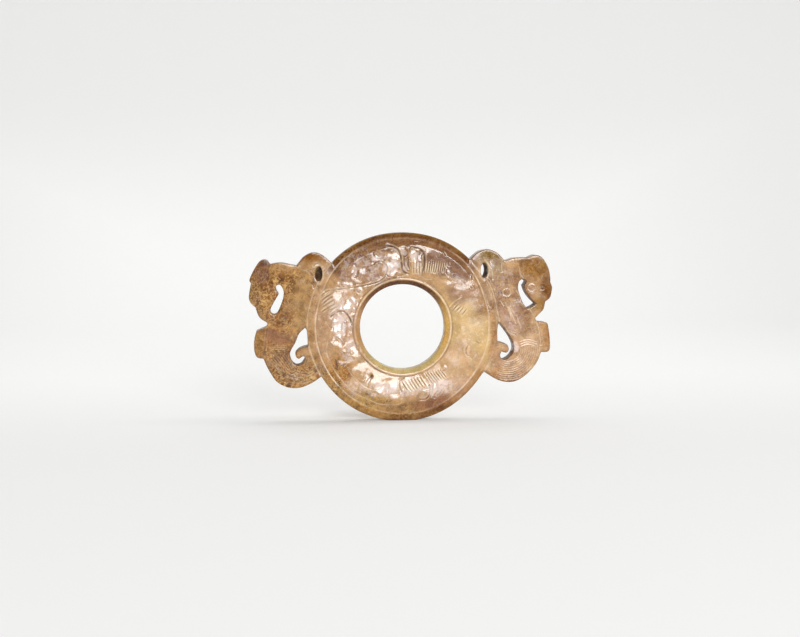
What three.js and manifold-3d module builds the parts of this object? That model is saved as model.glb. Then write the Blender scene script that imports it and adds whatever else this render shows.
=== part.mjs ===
// Jade ring pendant: a broad domed ring with an openwork creature on each side, cut from one stone.
// X runs across both creatures, Y through the thickness with the front at -Y, and Z up from the foot.
import * as THREE from 'three';
import { mergeVertices } from 'three/addons/utils/BufferGeometryUtils.js';
import Module from 'manifold-3d';

// Ring: overall sizes
const ringRadius = 28;
const boreRadius = 12.5;
const crestThickness = 6.8;
const crestLandWidth = 3.6;
const footFlatDepth = 0.3;

// Ring: bevelled mouth of the bore, and the raised lip with a groove round it
const boreWallThickness = 3.8;
const boreBevelWidth = 1.2;
const lipThickness = 5.6;
const lipWidth = 0.6;
const ringGrooveWidth = 0.5;
const ringGrooveDepth = 0.2;

// Ring: engraved border near the rim, and the band outside it that slopes back
const borderThickness = 5.7;
const borderInset = 2.3;
const rimThickness = 5.2;
const rimRound = 0.5;

// Creatures: reach past the ring's rim, height, thickness and worn edges
const creatureReach = 16.8;
const leftCreatureHeight = 39.7;
const rightCreatureHeight = 39.4;
const leftCreatureLift = 0.35;
const rightCreatureLift = -0.25;
const creatureThickness = 4.8;
const edgeRound = 0.55;

// Suspension holes, one through each creature's shoulder. The left one runs askew:
// on the back it comes out nearer the ring and higher.
const holeWidth = 2.1;
const holeHeight = 4.3;
const leftHoleDriftInwards = 2;
const leftHoleDriftUp = 1.6;

// Engraved lines are shallow V-shaped grooves
const lineWidth = 0.5;
const lineDepth = 0.24;
const fineLineWidth = 0.36;
const fineLineDepth = 0.17;

// Hair on the right creature's tail: lines round one centre
const hairInnerRadius = 4.5;
const hairSpacing = 0.86;

// Drilled ring and dot on the right creature
const drilledRingRadius = 1.15;
const dotRadius = 0.55;

// How finely curves are cut into flats
const turnSteps = 64;
const domeSteps = 2;
const edgeSteps = 1;
const outlineSteps = 2;
const slotSteps = 1;
const holeSteps = 20;
const bodyLineSteps = 2;
const lineSteps = 1;
const combSteps = 2;
const arcSteps = 7;
const drilledSteps = 8;
const overrun = 1;
const weldDistance = 1e-5;

// The two faces, by the side of the middle plane that they lie on
const front = -1;
const back = 1;

const stone = new THREE.MeshStandardMaterial({ color: 0xb08358, roughness: 0.32, metalness: 0 });

const wasm = await Module();
wasm.setup();

// Closed three.js geometry to a solid that can be joined and cut
function toSolid(geometry) {
  const bare = geometry.index ? geometry.toNonIndexed() : geometry.clone();
  bare.deleteAttribute('normal');
  bare.deleteAttribute('uv');
  const merged = mergeVertices(bare, weldDistance);
  return new wasm.Manifold(new wasm.Mesh({
    numProp: 3,
    vertProperties: new Float32Array(merged.attributes.position.array),
    triVerts: new Uint32Array(merged.index.array),
  }));
}

// Solid back to a three.js geometry
function toGeometry(solid) {
  const mesh = solid.getMesh();
  const geometry = new THREE.BufferGeometry();
  geometry.setAttribute('position', new THREE.BufferAttribute(mesh.vertProperties, mesh.numProp));
  geometry.setIndex(new THREE.BufferAttribute(mesh.triVerts, 1));
  geometry.computeVertexNormals();
  return geometry;
}

// Half of the ring's section, from the bore out to the rim: [radius, distance from the middle plane]
function ringSection() {
  const lipInner = boreRadius + boreBevelWidth;
  const lipOuter = lipInner + lipWidth;
  const grooveOuter = lipOuter + ringGrooveWidth;
  const borderRadius = ringRadius - borderInset;
  const borderInner = borderRadius - ringGrooveWidth;
  const crestMiddle = (grooveOuter + borderInner) / 2;
  const crestInner = crestMiddle - crestLandWidth / 2;
  const crestOuter = crestMiddle + crestLandWidth / 2;
  const section = [
    [boreRadius, boreWallThickness / 2],
    [lipInner, lipThickness / 2],
    [lipOuter, lipThickness / 2],
    [lipOuter + ringGrooveWidth / 2, lipThickness / 2 - ringGrooveDepth],
  ];
  for (let step = 0; step <= domeSteps; step++) {
    const share = step / domeSteps;
    const rise = Math.sin(share * Math.PI / 2);
    section.push([
      grooveOuter + share * (crestInner - grooveOuter),
      lipThickness / 2 + rise * (crestThickness - lipThickness) / 2,
    ]);
  }
  for (let step = domeSteps; step >= 0; step--) {
    const share = step / domeSteps;
    const rise = Math.sin(share * Math.PI / 2);
    section.push([
      borderInner - share * (borderInner - crestOuter),
      borderThickness / 2 + rise * (crestThickness - borderThickness) / 2,
    ]);
  }
  section.push(
    [borderInner + ringGrooveWidth / 2, borderThickness / 2 - ringGrooveDepth],
    [borderRadius, borderThickness / 2],
    [ringRadius - rimRound, rimThickness / 2],
    [ringRadius, rimThickness / 2 - rimRound],
  );
  return section;
}

// The ring turned about its axis, with both faces alike
function ringBody() {
  const half = ringSection();
  const frontHalf = half.map(([radius, offset]) => new THREE.Vector2(radius, front * offset));
  const backHalf = half.map(([radius, offset]) => new THREE.Vector2(radius, back * offset)).reverse();
  const profile = [...frontHalf, ...backHalf, frontHalf[0].clone()];
  return toSolid(new THREE.LatheGeometry(profile, turnSteps));
}

// Outline tables: runs of [reach share, height share]. A run is one smooth curve, and runs meet at corners.
// Reach is counted outwards from the ring's rim, and height upwards from the ring's centre.
// The last run of each outline lies inside the ring.
const leftOutlineShares = [
  [[-0.51, 0.41], [-0.40, 0.467]],
  [[-0.40, 0.467], [-0.29, 0.51], [-0.21, 0.535], [-0.12, 0.542], [-0.04, 0.538], [0.06, 0.513],
    [0.125, 0.48], [0.185, 0.45]],
  [[0.185, 0.45], [0.26, 0.447], [0.375, 0.466], [0.46, 0.469], [0.55, 0.465], [0.63, 0.458]],
  [[0.63, 0.458], [0.69, 0.488], [0.75, 0.489], [0.80, 0.479], [0.84, 0.458], [0.90, 0.417],
    [0.945, 0.375], [0.975, 0.338], [0.955, 0.312]],
  [[0.955, 0.312], [0.965, 0.28], [0.985, 0.245], [1.00, 0.214], [0.968, 0.178], [0.92, 0.154],
    [0.87, 0.137]],
  [[0.87, 0.137], [0.86, 0.113], [0.83, 0.081], [0.78, 0.052], [0.72, 0.034], [0.678, 0.018]],
  [[0.678, 0.018], [0.705, -0.007], [0.79, -0.026], [0.86, -0.038]],
  [[0.86, -0.038], [0.885, -0.07], [0.898, -0.126], [0.897, -0.177], [0.875, -0.214], [0.83, -0.238],
    [0.739, -0.242]],
  [[0.739, -0.242], [0.71, -0.267], [0.68, -0.303], [0.63, -0.343], [0.56, -0.388], [0.48, -0.425],
    [0.41, -0.443], [0.33, -0.454], [0.23, -0.458], [0.125, -0.456], [0.025, -0.444],
    [-0.075, -0.421], [-0.215, -0.38]],
  [[-0.215, -0.38], [-0.38, -0.31]],
  [[-0.38, -0.31], [-0.58, -0.12]],
  [[-0.58, -0.12], [-0.58, 0.22]],
];

const rightOutlineShares = [
  [[-0.60, 0.43], [-0.50, 0.503]],
  [[-0.50, 0.503], [-0.41, 0.54], [-0.32, 0.566], [-0.23, 0.576], [-0.14, 0.577], [-0.06, 0.566],
    [0.01, 0.547], [0.065, 0.525], [0.138, 0.491]],
  [[0.138, 0.491], [0.23, 0.505], [0.32, 0.515], [0.41, 0.521], [0.57, 0.519]],
  [[0.57, 0.519], [0.615, 0.532], [0.69, 0.537], [0.76, 0.532], [0.82, 0.516], [0.875, 0.483],
    [0.925, 0.445], [0.955, 0.408], [0.967, 0.37], [0.969, 0.332]],
  [[0.969, 0.332], [0.99, 0.31], [1.00, 0.28], [0.99, 0.248], [0.963, 0.215], [0.92, 0.197],
    [0.875, 0.185]],
  [[0.875, 0.185], [0.872, 0.158], [0.845, 0.128], [0.78, 0.098], [0.725, 0.079], [0.697, 0.06]],
  [[0.697, 0.06], [0.72, 0.04], [0.79, 0.032], [0.87, 0.03], [0.91, 0.014]],
  [[0.91, 0.014], [0.936, -0.015], [0.95, -0.06], [0.96, -0.106], [0.962, -0.151], [0.945, -0.181],
    [0.90, -0.195], [0.80, -0.197]],
  [[0.80, -0.197], [0.78, -0.211], [0.76, -0.242], [0.725, -0.272], [0.67, -0.302], [0.60, -0.34],
    [0.505, -0.374], [0.41, -0.40], [0.32, -0.417], [0.23, -0.423], [0.10, -0.419], [0.01, -0.408],
    [-0.085, -0.389], [-0.23, -0.351]],
  [[-0.23, -0.351], [-0.43, -0.272]],
  [[-0.43, -0.272], [-0.64, -0.10]],
  [[-0.64, -0.10], [-0.64, 0.22]],
];

// Slot between the head and the neck
const leftNeckSlotShares = [
  [[0.46, 0.304], [0.429, 0.281], [0.398, 0.251], [0.40, 0.222], [0.42, 0.185], [0.454, 0.14],
    [0.496, 0.103], [0.546, 0.085], [0.597, 0.089], [0.627, 0.115]],
  [[0.627, 0.115], [0.597, 0.148], [0.555, 0.177], [0.513, 0.214], [0.482, 0.236]],
  [[0.482, 0.236], [0.513, 0.255], [0.529, 0.278], [0.50, 0.301], [0.46, 0.304]],
];
const rightNeckSlotShares = [
  [[0.468, 0.358], [0.505, 0.345], [0.505, 0.322], [0.459, 0.298]],
  [[0.459, 0.298], [0.505, 0.257], [0.578, 0.211], [0.624, 0.181], [0.697, 0.168]],
  [[0.697, 0.168], [0.633, 0.147], [0.55, 0.131]],
  [[0.55, 0.131], [0.495, 0.155], [0.44, 0.204], [0.394, 0.257], [0.382, 0.294], [0.404, 0.325],
    [0.431, 0.347], [0.468, 0.358]],
];

// Slot between the neck and the ring, with a small scroll curling into its lower end
const leftScrollSlotShares = [
  [[0.05, -0.013], [0.012, -0.024]],
  [[0.012, -0.024], [0.004, -0.07], [-0.012, -0.118], [0.0, -0.148]],
  [[0.0, -0.148], [0.05, -0.157], [0.115, -0.163], [0.168, -0.181], [0.202, -0.205], [0.19, -0.23],
    [0.143, -0.245]],
  [[0.143, -0.245], [0.10, -0.229], [0.059, -0.226]],
  [[0.059, -0.226], [0.042, -0.245], [0.06, -0.265], [0.10, -0.281], [0.16, -0.29], [0.218, -0.282],
    [0.269, -0.258], [0.291, -0.222], [0.286, -0.185], [0.244, -0.152], [0.202, -0.12],
    [0.151, -0.066], [0.109, -0.037], [0.05, -0.013]],
];
const rightScrollSlotShares = [
  [[0.02, 0.032], [0.083, 0.008], [0.156, -0.038], [0.229, -0.083], [0.284, -0.121], [0.303, -0.166],
    [0.266, -0.204], [0.211, -0.234], [0.138, -0.253], [0.092, -0.249], [0.051, -0.226],
    [0.046, -0.196]],
  [[0.046, -0.196], [0.083, -0.19], [0.119, -0.20]],
  [[0.119, -0.20], [0.174, -0.204], [0.211, -0.181], [0.211, -0.158], [0.183, -0.14], [0.119, -0.13],
    [0.046, -0.127], [0.0, -0.11]],
  [[0.0, -0.11], [0.0, 0.0], [0.02, 0.032]],
];

// Engraved lines on the creatures, as reach and height shares
const leftLineShares = [
  [[0.695, -0.05], [0.722, -0.14], [0.697, -0.235]],
  [[0.72, -0.177], [0.55, -0.163], [0.36, -0.172]],
  [[0.71, -0.197], [0.55, -0.184], [0.36, -0.193]],
  [[0.126, -0.352], [0.0, -0.362], [-0.14, -0.335]],
  [[0.126, -0.385], [0.0, -0.393], [-0.12, -0.37]],
];
const rightLineShares = [
  [[0.578, 0.136], [0.67, 0.075], [0.743, 0.0], [0.78, -0.075], [0.80, -0.145]],
  [[0.193, 0.158], [0.266, 0.09], [0.339, 0.015]],
  [[0.138, 0.189], [0.195, 0.14], [0.248, 0.083]],
  [[0.339, 0.09], [0.39, 0.045], [0.431, -0.007]],
  [[0.413, -0.113], [0.57, -0.097], [0.73, -0.118]],
  [[0.42, 0.483], [0.45, 0.395], [0.541, 0.347], [0.688, 0.272]],
  [[-0.16, 0.483], [-0.10, 0.423], [-0.083, 0.347]],
];

// Comb of straight hair on the left creature's tail: its first and last line
const leftCombShares = {
  count: 7,
  first: [[0.64, -0.215], [0.50, -0.365]],
  last: [[0.37, -0.21], [0.235, -0.305]],
};

// Engraved lines on the ring: [degrees anticlockwise from the right, share of the band from bore to rim].
// Both faces carry the long lines of the body.
const ringBodyLineShares = [
  // Flank that rolls into a spiral
  [[154, 0.73], [147, 0.50], [137, 0.30], [126, 0.19], [116.5, 0.16], [109.5, 0.20], [105, 0.30],
    [105, 0.41], [108.3, 0.50], [112.5, 0.515], [116.2, 0.47], [118.2, 0.385], [116, 0.30]],
  // Neck
  [[102, 0.77], [97.5, 0.72], [93.4, 0.643], [91.6, 0.53], [90.9, 0.377], [90, 0.264], [86, 0.21],
    [81.7, 0.19]],
  // Back and belly along the lower left
  [[191, 0.64], [199, 0.72], [206, 0.72], [213, 0.738], [223, 0.74], [229, 0.726], [234, 0.76],
    [245, 0.73], [254, 0.74], [268, 0.69]],
  [[216, 0.498], [224, 0.536], [236, 0.547], [243.4, 0.536], [249, 0.50], [253, 0.39], [254.3, 0.285]],
];
const ringDetailLineShares = [
  // Claws beside the neck
  [[84.6, 0.705], [78, 0.69], [74.5, 0.657], [72.1, 0.556], [70.6, 0.43], [69.2, 0.30]],
  [[79, 0.755], [75, 0.71], [71.2, 0.645], [68.3, 0.59]],
  [[69.7, 0.213], [65.9, 0.20], [61.3, 0.21], [56.7, 0.257]],
  // Tuft on the right of the bore
  [[21.2, 0.15], [24.5, 0.255], [25.5, 0.347], [26.4, 0.48]],
  [[17.6, 0.20], [21.6, 0.334], [23.7, 0.475]],
  // Claw on the left of the bore
  [[173, 0.586], [169, 0.487], [166.3, 0.40], [167, 0.30], [172.4, 0.207], [180.6, 0.142]],
  // Claw and knob at the bottom
  [[272.7, 0.19], [268.4, 0.217], [267, 0.30], [268.2, 0.396], [269.6, 0.453]],
  [[282.7, 0.63], [287.1, 0.65], [291, 0.60], [293.6, 0.504], [294.1, 0.41]],
  // Crescent on the right
  [[343.8, 0.494], [339.1, 0.48], [335.8, 0.54], [335.9, 0.59]],
];

// Combs of short parallel lines on the ring: the first and last line of each
const ringCombShares = [
  { count: 3, first: [[80.5, 0.21], [82, 0.44]], last: [[73.5, 0.22], [74.5, 0.44]] },
  { count: 8, first: [[66, 0.30], [68.5, 0.55]], last: [[51, 0.49], [55.4, 0.72]] },
  { count: 4, first: [[160, 0.845], [152, 0.72]], last: [[171, 0.76], [164, 0.53]] },
  { count: 11, first: [[271, 0.26], [275.5, 0.42]], last: [[307, 0.23], [309, 0.49]] },
];

// Tail hair of the right creature: centre, and the stretch it covers in degrees
const hairCentreShare = [0.193, -0.166];
const hairStartDegrees = 22;
const hairEndDegrees = -118;
const hairCount = 6;

const drilledRingShare = [0.169, 0.2566];
const eyeShare = [0.8165, 0.294];

// Each side: direction along X, sizes, tables and the suspension hole
const sides = [
  {
    direction: -1,
    height: leftCreatureHeight,
    lift: leftCreatureLift,
    outlineShares: leftOutlineShares,
    slotShares: [leftNeckSlotShares, leftScrollSlotShares],
    lineShares: leftLineShares,
    holeShare: [-0.187, 0.384],
    holeDrift: [leftHoleDriftInwards, leftHoleDriftUp],
  },
  {
    direction: 1,
    height: rightCreatureHeight,
    lift: rightCreatureLift,
    outlineShares: rightOutlineShares,
    slotShares: [rightNeckSlotShares, rightScrollSlotShares],
    lineShares: rightLineShares,
    holeShare: [-0.244, 0.421],
    holeDrift: [0, 0],
  },
];
const [leftSide, rightSide] = sides;

// Place on a creature, seen from the front with the ring's centre at the origin
function creaturePoint(side, [reachShare, heightShare]) {
  return new THREE.Vector2(
    side.direction * (ringRadius + reachShare * creatureReach),
    side.lift + heightShare * side.height,
  );
}

// Closed outline through the runs of a table, with so many steps between its points
function outlinePoints(side, runs, stepsBetween) {
  const points = [];
  for (const run of runs) {
    const corners = run.map((share) => creaturePoint(side, share));
    const curve = new THREE.SplineCurve(corners);
    const steps = corners.length === 2 ? 1 : (corners.length - 1) * stepsBetween;
    points.push(...curve.getPoints(steps).slice(0, -1));
  }
  if (THREE.ShapeUtils.isClockWise(points)) points.reverse();
  return points;
}

// Solid through the thickness from a flat outline: drawn in X and Y, then stood up so that Y becomes Z
function standUp(geometry, thickness) {
  geometry.translate(0, 0, -thickness / 2);
  geometry.rotateX(Math.PI / 2);
  return toSolid(geometry);
}

function creatureBody(side) {
  const shape = new THREE.Shape(outlinePoints(side, side.outlineShares, outlineSteps));
  const geometry = new THREE.ExtrudeGeometry(shape, {
    depth: creatureThickness - 2 * edgeRound,
    bevelEnabled: true,
    bevelThickness: edgeRound,
    bevelSize: edgeRound,
    bevelOffset: -edgeRound,
    bevelSegments: edgeSteps,
    steps: 1,
  });
  return standUp(geometry, creatureThickness - 2 * edgeRound);
}

function throughCut(points) {
  const depth = crestThickness + 2 * overrun;
  const geometry = new THREE.ExtrudeGeometry(new THREE.Shape(points), { depth, bevelEnabled: false });
  return standUp(geometry, depth);
}

// Oval hole, leaning by its drift from the front face to the back face
function suspensionHole(side) {
  const centre = creaturePoint(side, side.holeShare);
  const oval = new THREE.EllipseCurve(centre.x, centre.y, holeWidth / 2, holeHeight / 2);
  const depth = crestThickness + 2 * overrun;
  const shape = new THREE.Shape(oval.getPoints(holeSteps).slice(0, -1));
  const geometry = new THREE.ExtrudeGeometry(shape, { depth, bevelEnabled: false });
  geometry.translate(0, 0, -depth / 2);
  geometry.rotateX(Math.PI / 2);
  geometry.translate(0, creatureThickness / 2, 0);
  const [leanX, leanZ] = side.holeDrift.map((drift) => drift / creatureThickness);
  geometry.applyMatrix4(new THREE.Matrix4().makeShear(0, 0, leanX, leanZ, 0, 0));
  geometry.translate(0, -creatureThickness / 2, 0);
  return toSolid(geometry);
}

// Distance from the middle plane to the ring's face at a radius, without its two ring grooves
function ringFace(radius) {
  const section = ringSection();
  const next = Math.max(1, section.findIndex(([outer]) => outer >= radius));
  const [innerRadius, innerOffset] = section[next - 1];
  const [outerRadius, outerOffset] = section[next];
  const share = (radius - innerRadius) / (outerRadius - innerRadius);
  return innerOffset + share * (outerOffset - innerOffset);
}

// Path on the ring's face through a line of [degrees, band share]
function ringPath(line, face, stepsBetween) {
  const curve = new THREE.SplineCurve(line.map((point) => new THREE.Vector2(...point)));
  return curve.getPoints((line.length - 1) * stepsBetween).map((point) => {
    const radius = boreRadius + point.y * (ringRadius - boreRadius);
    const angle = THREE.MathUtils.degToRad(point.x);
    return new THREE.Vector3(radius * Math.cos(angle), face * ringFace(radius), radius * Math.sin(angle));
  });
}

// Path on a creature's face through a line of reach and height shares
function creaturePath(side, line, face, stepsBetween) {
  const curve = new THREE.SplineCurve(line.map((share) => creaturePoint(side, share)));
  return curve.getPoints((line.length - 1) * stepsBetween).map((point) => (
    new THREE.Vector3(point.x, face * creatureThickness / 2, point.y)
  ));
}

// Groove along a path that lies on a face
function groove(path, width, depth) {
  const section = new THREE.Shape([
    new THREE.Vector2(depth, 0),
    new THREE.Vector2(0, width / 2),
    new THREE.Vector2(-depth, 0),
    new THREE.Vector2(0, -width / 2),
  ]);
  return toSolid(new THREE.ExtrudeGeometry(section, {
    steps: path.length - 1,
    bevelEnabled: false,
    extrudePath: new THREE.CatmullRomCurve3(path),
  }));
}

// Lines of a comb, spread evenly from its first to its last
function combLines({ count, first, last }) {
  const blend = (from, to, share) => from.map((value, axis) => value + share * (to[axis] - value));
  return Array.from({ length: count }, (_, index) => {
    const share = index / (count - 1);
    return first.map((point, end) => blend(point, last[end], share));
  });
}

// Tail hair of the right creature, as arcs round one centre
function hairArcs() {
  const centre = creaturePoint(rightSide, hairCentreShare);
  return Array.from({ length: hairCount }, (_, index) => {
    const radius = hairInnerRadius + index * hairSpacing;
    return Array.from({ length: arcSteps + 1 }, (_, step) => {
      const degrees = hairStartDegrees + (hairEndDegrees - hairStartDegrees) * step / arcSteps;
      const angle = THREE.MathUtils.degToRad(degrees);
      return new THREE.Vector3(
        centre.x + radius * Math.cos(angle),
        front * creatureThickness / 2,
        centre.y + radius * Math.sin(angle),
      );
    });
  });
}

// Turned cut with its profile drawn from the front face inwards, at a place on the right creature
function drilledCut(profile, share) {
  const geometry = new THREE.LatheGeometry(profile, drilledSteps);
  const centre = creaturePoint(rightSide, share);
  geometry.translate(centre.x, front * creatureThickness / 2, centre.y);
  return toSolid(geometry);
}

// Shallow cone of a drill's tip
function eyeCut() {
  return drilledCut([
    new THREE.Vector2(0, -lineDepth),
    new THREE.Vector2(dotRadius, -lineDepth),
    new THREE.Vector2(dotRadius, 0),
    new THREE.Vector2(0, lineDepth),
  ], eyeShare);
}

// Ring-shaped groove of a tube drill
function drilledRingCut() {
  return drilledCut([
    new THREE.Vector2(drilledRingRadius - fineLineWidth / 2, 0),
    new THREE.Vector2(drilledRingRadius, -lineDepth),
    new THREE.Vector2(drilledRingRadius + fineLineWidth / 2, 0),
    new THREE.Vector2(drilledRingRadius, lineDepth),
    new THREE.Vector2(drilledRingRadius - fineLineWidth / 2, 0),
  ], drilledRingShare);
}

// Long lines of the body on the ring, which both faces carry
function bodyLines(face) {
  return ringBodyLineShares.map((line) => groove(ringPath(line, face, bodyLineSteps), lineWidth, lineDepth));
}

// Everything else that is engraved, on the front alone
function frontDetail() {
  const cuts = [eyeCut(), drilledRingCut()];
  for (const line of ringDetailLineShares) {
    cuts.push(groove(ringPath(line, front, lineSteps), lineWidth, lineDepth));
  }
  for (const line of ringCombShares.flatMap(combLines)) {
    cuts.push(groove(ringPath(line, front, combSteps), fineLineWidth, fineLineDepth));
  }
  for (const side of sides) {
    for (const line of side.lineShares) {
      cuts.push(groove(creaturePath(side, line, front, lineSteps), lineWidth, lineDepth));
    }
  }
  for (const line of combLines(leftCombShares)) {
    cuts.push(groove(creaturePath(leftSide, line, front, lineSteps), fineLineWidth, fineLineDepth));
  }
  for (const path of hairArcs()) cuts.push(groove(path, fineLineWidth, fineLineDepth));
  return cuts;
}

// Block that grinds a small flat on the lowest point of the rim, for the pendant to stand on
function footCut() {
  const height = footFlatDepth + overrun;
  const block = new THREE.BoxGeometry(2 * ringRadius, crestThickness + 2 * overrun, height);
  block.translate(0, 0, footFlatDepth - ringRadius - height / 2);
  return toSolid(block);
}

function pendantSolid() {
  let body = ringBody();
  for (const side of sides) body = body.add(creatureBody(side));
  for (const side of sides) {
    for (const runs of side.slotShares) {
      body = body.subtract(throughCut(outlinePoints(side, runs, slotSteps)));
    }
    body = body.subtract(suspensionHole(side));
  }
  const engraving = [...bodyLines(front), ...frontDetail(), ...bodyLines(back)];
  for (const cut of engraving) body = body.subtract(cut);
  return body.subtract(footCut());
}

const pendant = new THREE.Mesh(toGeometry(pendantSolid()), stone);
pendant.name = 'carved_pendant';
pendant.position.z = ringRadius - footFlatDepth;

const group = new THREE.Group();
group.add(pendant);
export default group;
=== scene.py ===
import math

import bpy
import numpy as np
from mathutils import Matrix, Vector


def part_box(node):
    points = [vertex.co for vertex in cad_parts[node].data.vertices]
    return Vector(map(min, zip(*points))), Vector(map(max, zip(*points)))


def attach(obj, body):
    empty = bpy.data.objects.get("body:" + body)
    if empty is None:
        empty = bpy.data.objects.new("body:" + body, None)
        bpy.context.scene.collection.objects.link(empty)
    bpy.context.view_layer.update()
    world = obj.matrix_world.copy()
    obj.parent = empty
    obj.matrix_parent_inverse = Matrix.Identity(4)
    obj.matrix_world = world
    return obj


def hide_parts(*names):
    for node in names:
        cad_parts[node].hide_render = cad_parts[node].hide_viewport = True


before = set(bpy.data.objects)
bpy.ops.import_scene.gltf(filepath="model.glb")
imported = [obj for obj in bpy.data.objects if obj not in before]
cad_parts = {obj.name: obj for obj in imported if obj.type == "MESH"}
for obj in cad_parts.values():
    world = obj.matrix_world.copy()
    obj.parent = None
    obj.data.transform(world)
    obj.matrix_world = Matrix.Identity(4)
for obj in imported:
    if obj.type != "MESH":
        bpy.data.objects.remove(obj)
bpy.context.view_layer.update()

# A carved jade ring pendant on a pale floor. All sizes are millimetres until the mesh is made.
# X runs across the pendant and Z up, both from the ring's centre. Y runs through the stone, front at -Y.
MM = 0.001
NODE = "carved_pendant"
LOWEST, HIGHEST = (np.array(corner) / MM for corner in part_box(NODE))

# Ring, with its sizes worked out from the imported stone
FOOT_DEPTH = 0.3
RING_RADIUS = (HIGHEST[2] - LOWEST[2] + FOOT_DEPTH) / 2
CREST_HALF = HIGHEST[1]
CENTRE_UP = RING_RADIUS - FOOT_DEPTH
BORE_RADIUS = 12.5
BORDER_RADIUS = 25.7

# Half thicknesses of the ring's section and of the creatures
BORE_HALF = 1.85
CREST = CREST_HALF - 0.12
LIP_HALF = 2.82
BORDER_HALF = 2.85
RIM_HALF = 2.55
CREATURE_HALF = 2.36
WORN_EDGE = 0.3

# Section of the ring, as radius and half thickness: bevel and lip round the bore, and border and rim
LIP_KNOTS = [
    (BORE_RADIUS - 1, BORE_HALF - 0.7), (BORE_RADIUS, BORE_HALF), (12.9, 2.2), (13.4, 2.55),
    (13.8, LIP_HALF), (14.1, LIP_HALF + 0.06), (14.35, LIP_HALF + 0.04), (14.65, 2.6), (14.9, 2.72),
]
BORDER_KNOT = (25.15, BORDER_HALF)
RIM_KNOTS = [(BORDER_RADIUS, 2.84), (26.6, 2.72), (27.4, RIM_HALF), (29.5, 1.6)]

# How far the dome's crest lies from the lip and from the border, and the border's depth, also at the foot
LIP_TO_CREST = 4.8
BORDER_TO_CREST = -4.6
GROOVE_RADIUS = 25.45
BORDER_GROOVE = 0.11
FOOT_GROOVE = 0.03

# Top of the ring, where a bevel runs from the crest to past the rim: its slope, and the crest's inner edge
BEVEL_SLOPE = 0.42
BEVEL_END = 29.5
BEVELLED_CREST = 19.7

# How far the face falls back at the free rim, and where it steps down onto the creatures
RIM_FALL = 0.6
ROOT_STEP = 0.5

# Unevenness left by the hand: wavelength, height everywhere, and height added where the ring is carved
HAND_BUMPS = [(4.4, 0.05, 0.09), (2.2, 0.015, 0.04), (1.0, 0.004, 0.012)]

# Camera: where the photograph was taken from, and the places in its frame that are tied to the stone
PHOTO_WIDTH = 800
PHOTO_HEIGHT = 637
RING_CENTRE_PX = (402.0, 326.35)
RING_RADIUS_PX = 95.0
EYE_DISTANCE = 370.0
EYE_AZIMUTH = math.radians(5.5)
EYE_ELEVATION = math.radians(5.0)
SENSOR_WIDTH = 36.0
FOCAL_PX = EYE_DISTANCE * RING_RADIUS_PX / RING_RADIUS

LOOK = np.array([
    math.sin(EYE_AZIMUTH) * math.cos(EYE_ELEVATION),
    math.cos(EYE_AZIMUTH) * math.cos(EYE_ELEVATION),
    -math.sin(EYE_ELEVATION),
])
RIGHT = np.cross(LOOK, (0, 0, 1)) / np.linalg.norm(np.cross(LOOK, (0, 0, 1)))
UP = np.cross(RIGHT, LOOK)
EYE = -EYE_DISTANCE * LOOK

# Grid that the carving is drawn on
PITCH = 0.13
LAYER = 0.2
MARGIN = 1.0
GRID_X = np.arange(LOWEST[0] - MARGIN, HIGHEST[0] + MARGIN, PITCH)
GRID_Y = np.arange(LOWEST[1] - MARGIN, HIGHEST[1] + MARGIN, LAYER)
GRID_Z = np.arange(-RING_RADIUS - MARGIN, RING_RADIUS + MARGIN, PITCH)
FAR_AWAY = 9.0
FACE_COUNT = 380_000


def on_stone(pixels, half):
    """Places [x, z] where rays through photograph pixels meet the plane that far in front of the middle."""
    offsets = (np.asarray(pixels, float) - RING_CENTRE_PX) / FOCAL_PX
    rays = LOOK + offsets[:, :1] * RIGHT - offsets[:, 1:] * UP
    travel = (-half - EYE[1]) / rays[:, 1]
    return (EYE + travel[:, None] * rays)[:, [0, 2]]


def curve(points, steps=5):
    """Points of a smooth line through the given ones."""
    points = np.asarray(points, float)
    if len(points) < 3:
        return points
    padded = np.vstack([2 * points[0] - points[1], points, 2 * points[-1] - points[-2]])
    made = []
    for before, start, end, after in zip(padded, padded[1:], padded[2:], padded[3:]):
        for share in np.arange(steps) / steps:
            made.append(0.5 * (
                2 * start + (end - before) * share
                + (2 * before - 5 * start + 4 * end - after) * share**2
                + (3 * start - before - 3 * end + after) * share**3
            ))
    return np.vstack([made, points[-1:]])


def ramp(values, low, high):
    share = np.clip((values - low) / (high - low), 0, 1)
    return share * share * (3 - 2 * share)


def bell(values, spread):
    """1 where the values are 0, falling off evenly on both sides."""
    return np.exp(-((values / spread) ** 2))


def lift(field, values, window=...):
    """Raises a field to the values where they are higher."""
    field[window] = np.maximum(field[window], values)


def grid_window(low, high):
    """The part of the grid between two corners [x, z]."""
    spans = zip((GRID_X, GRID_Z), zip(low, high))
    return tuple(slice(*np.searchsorted(places, ends)) for places, ends in spans)


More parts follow.
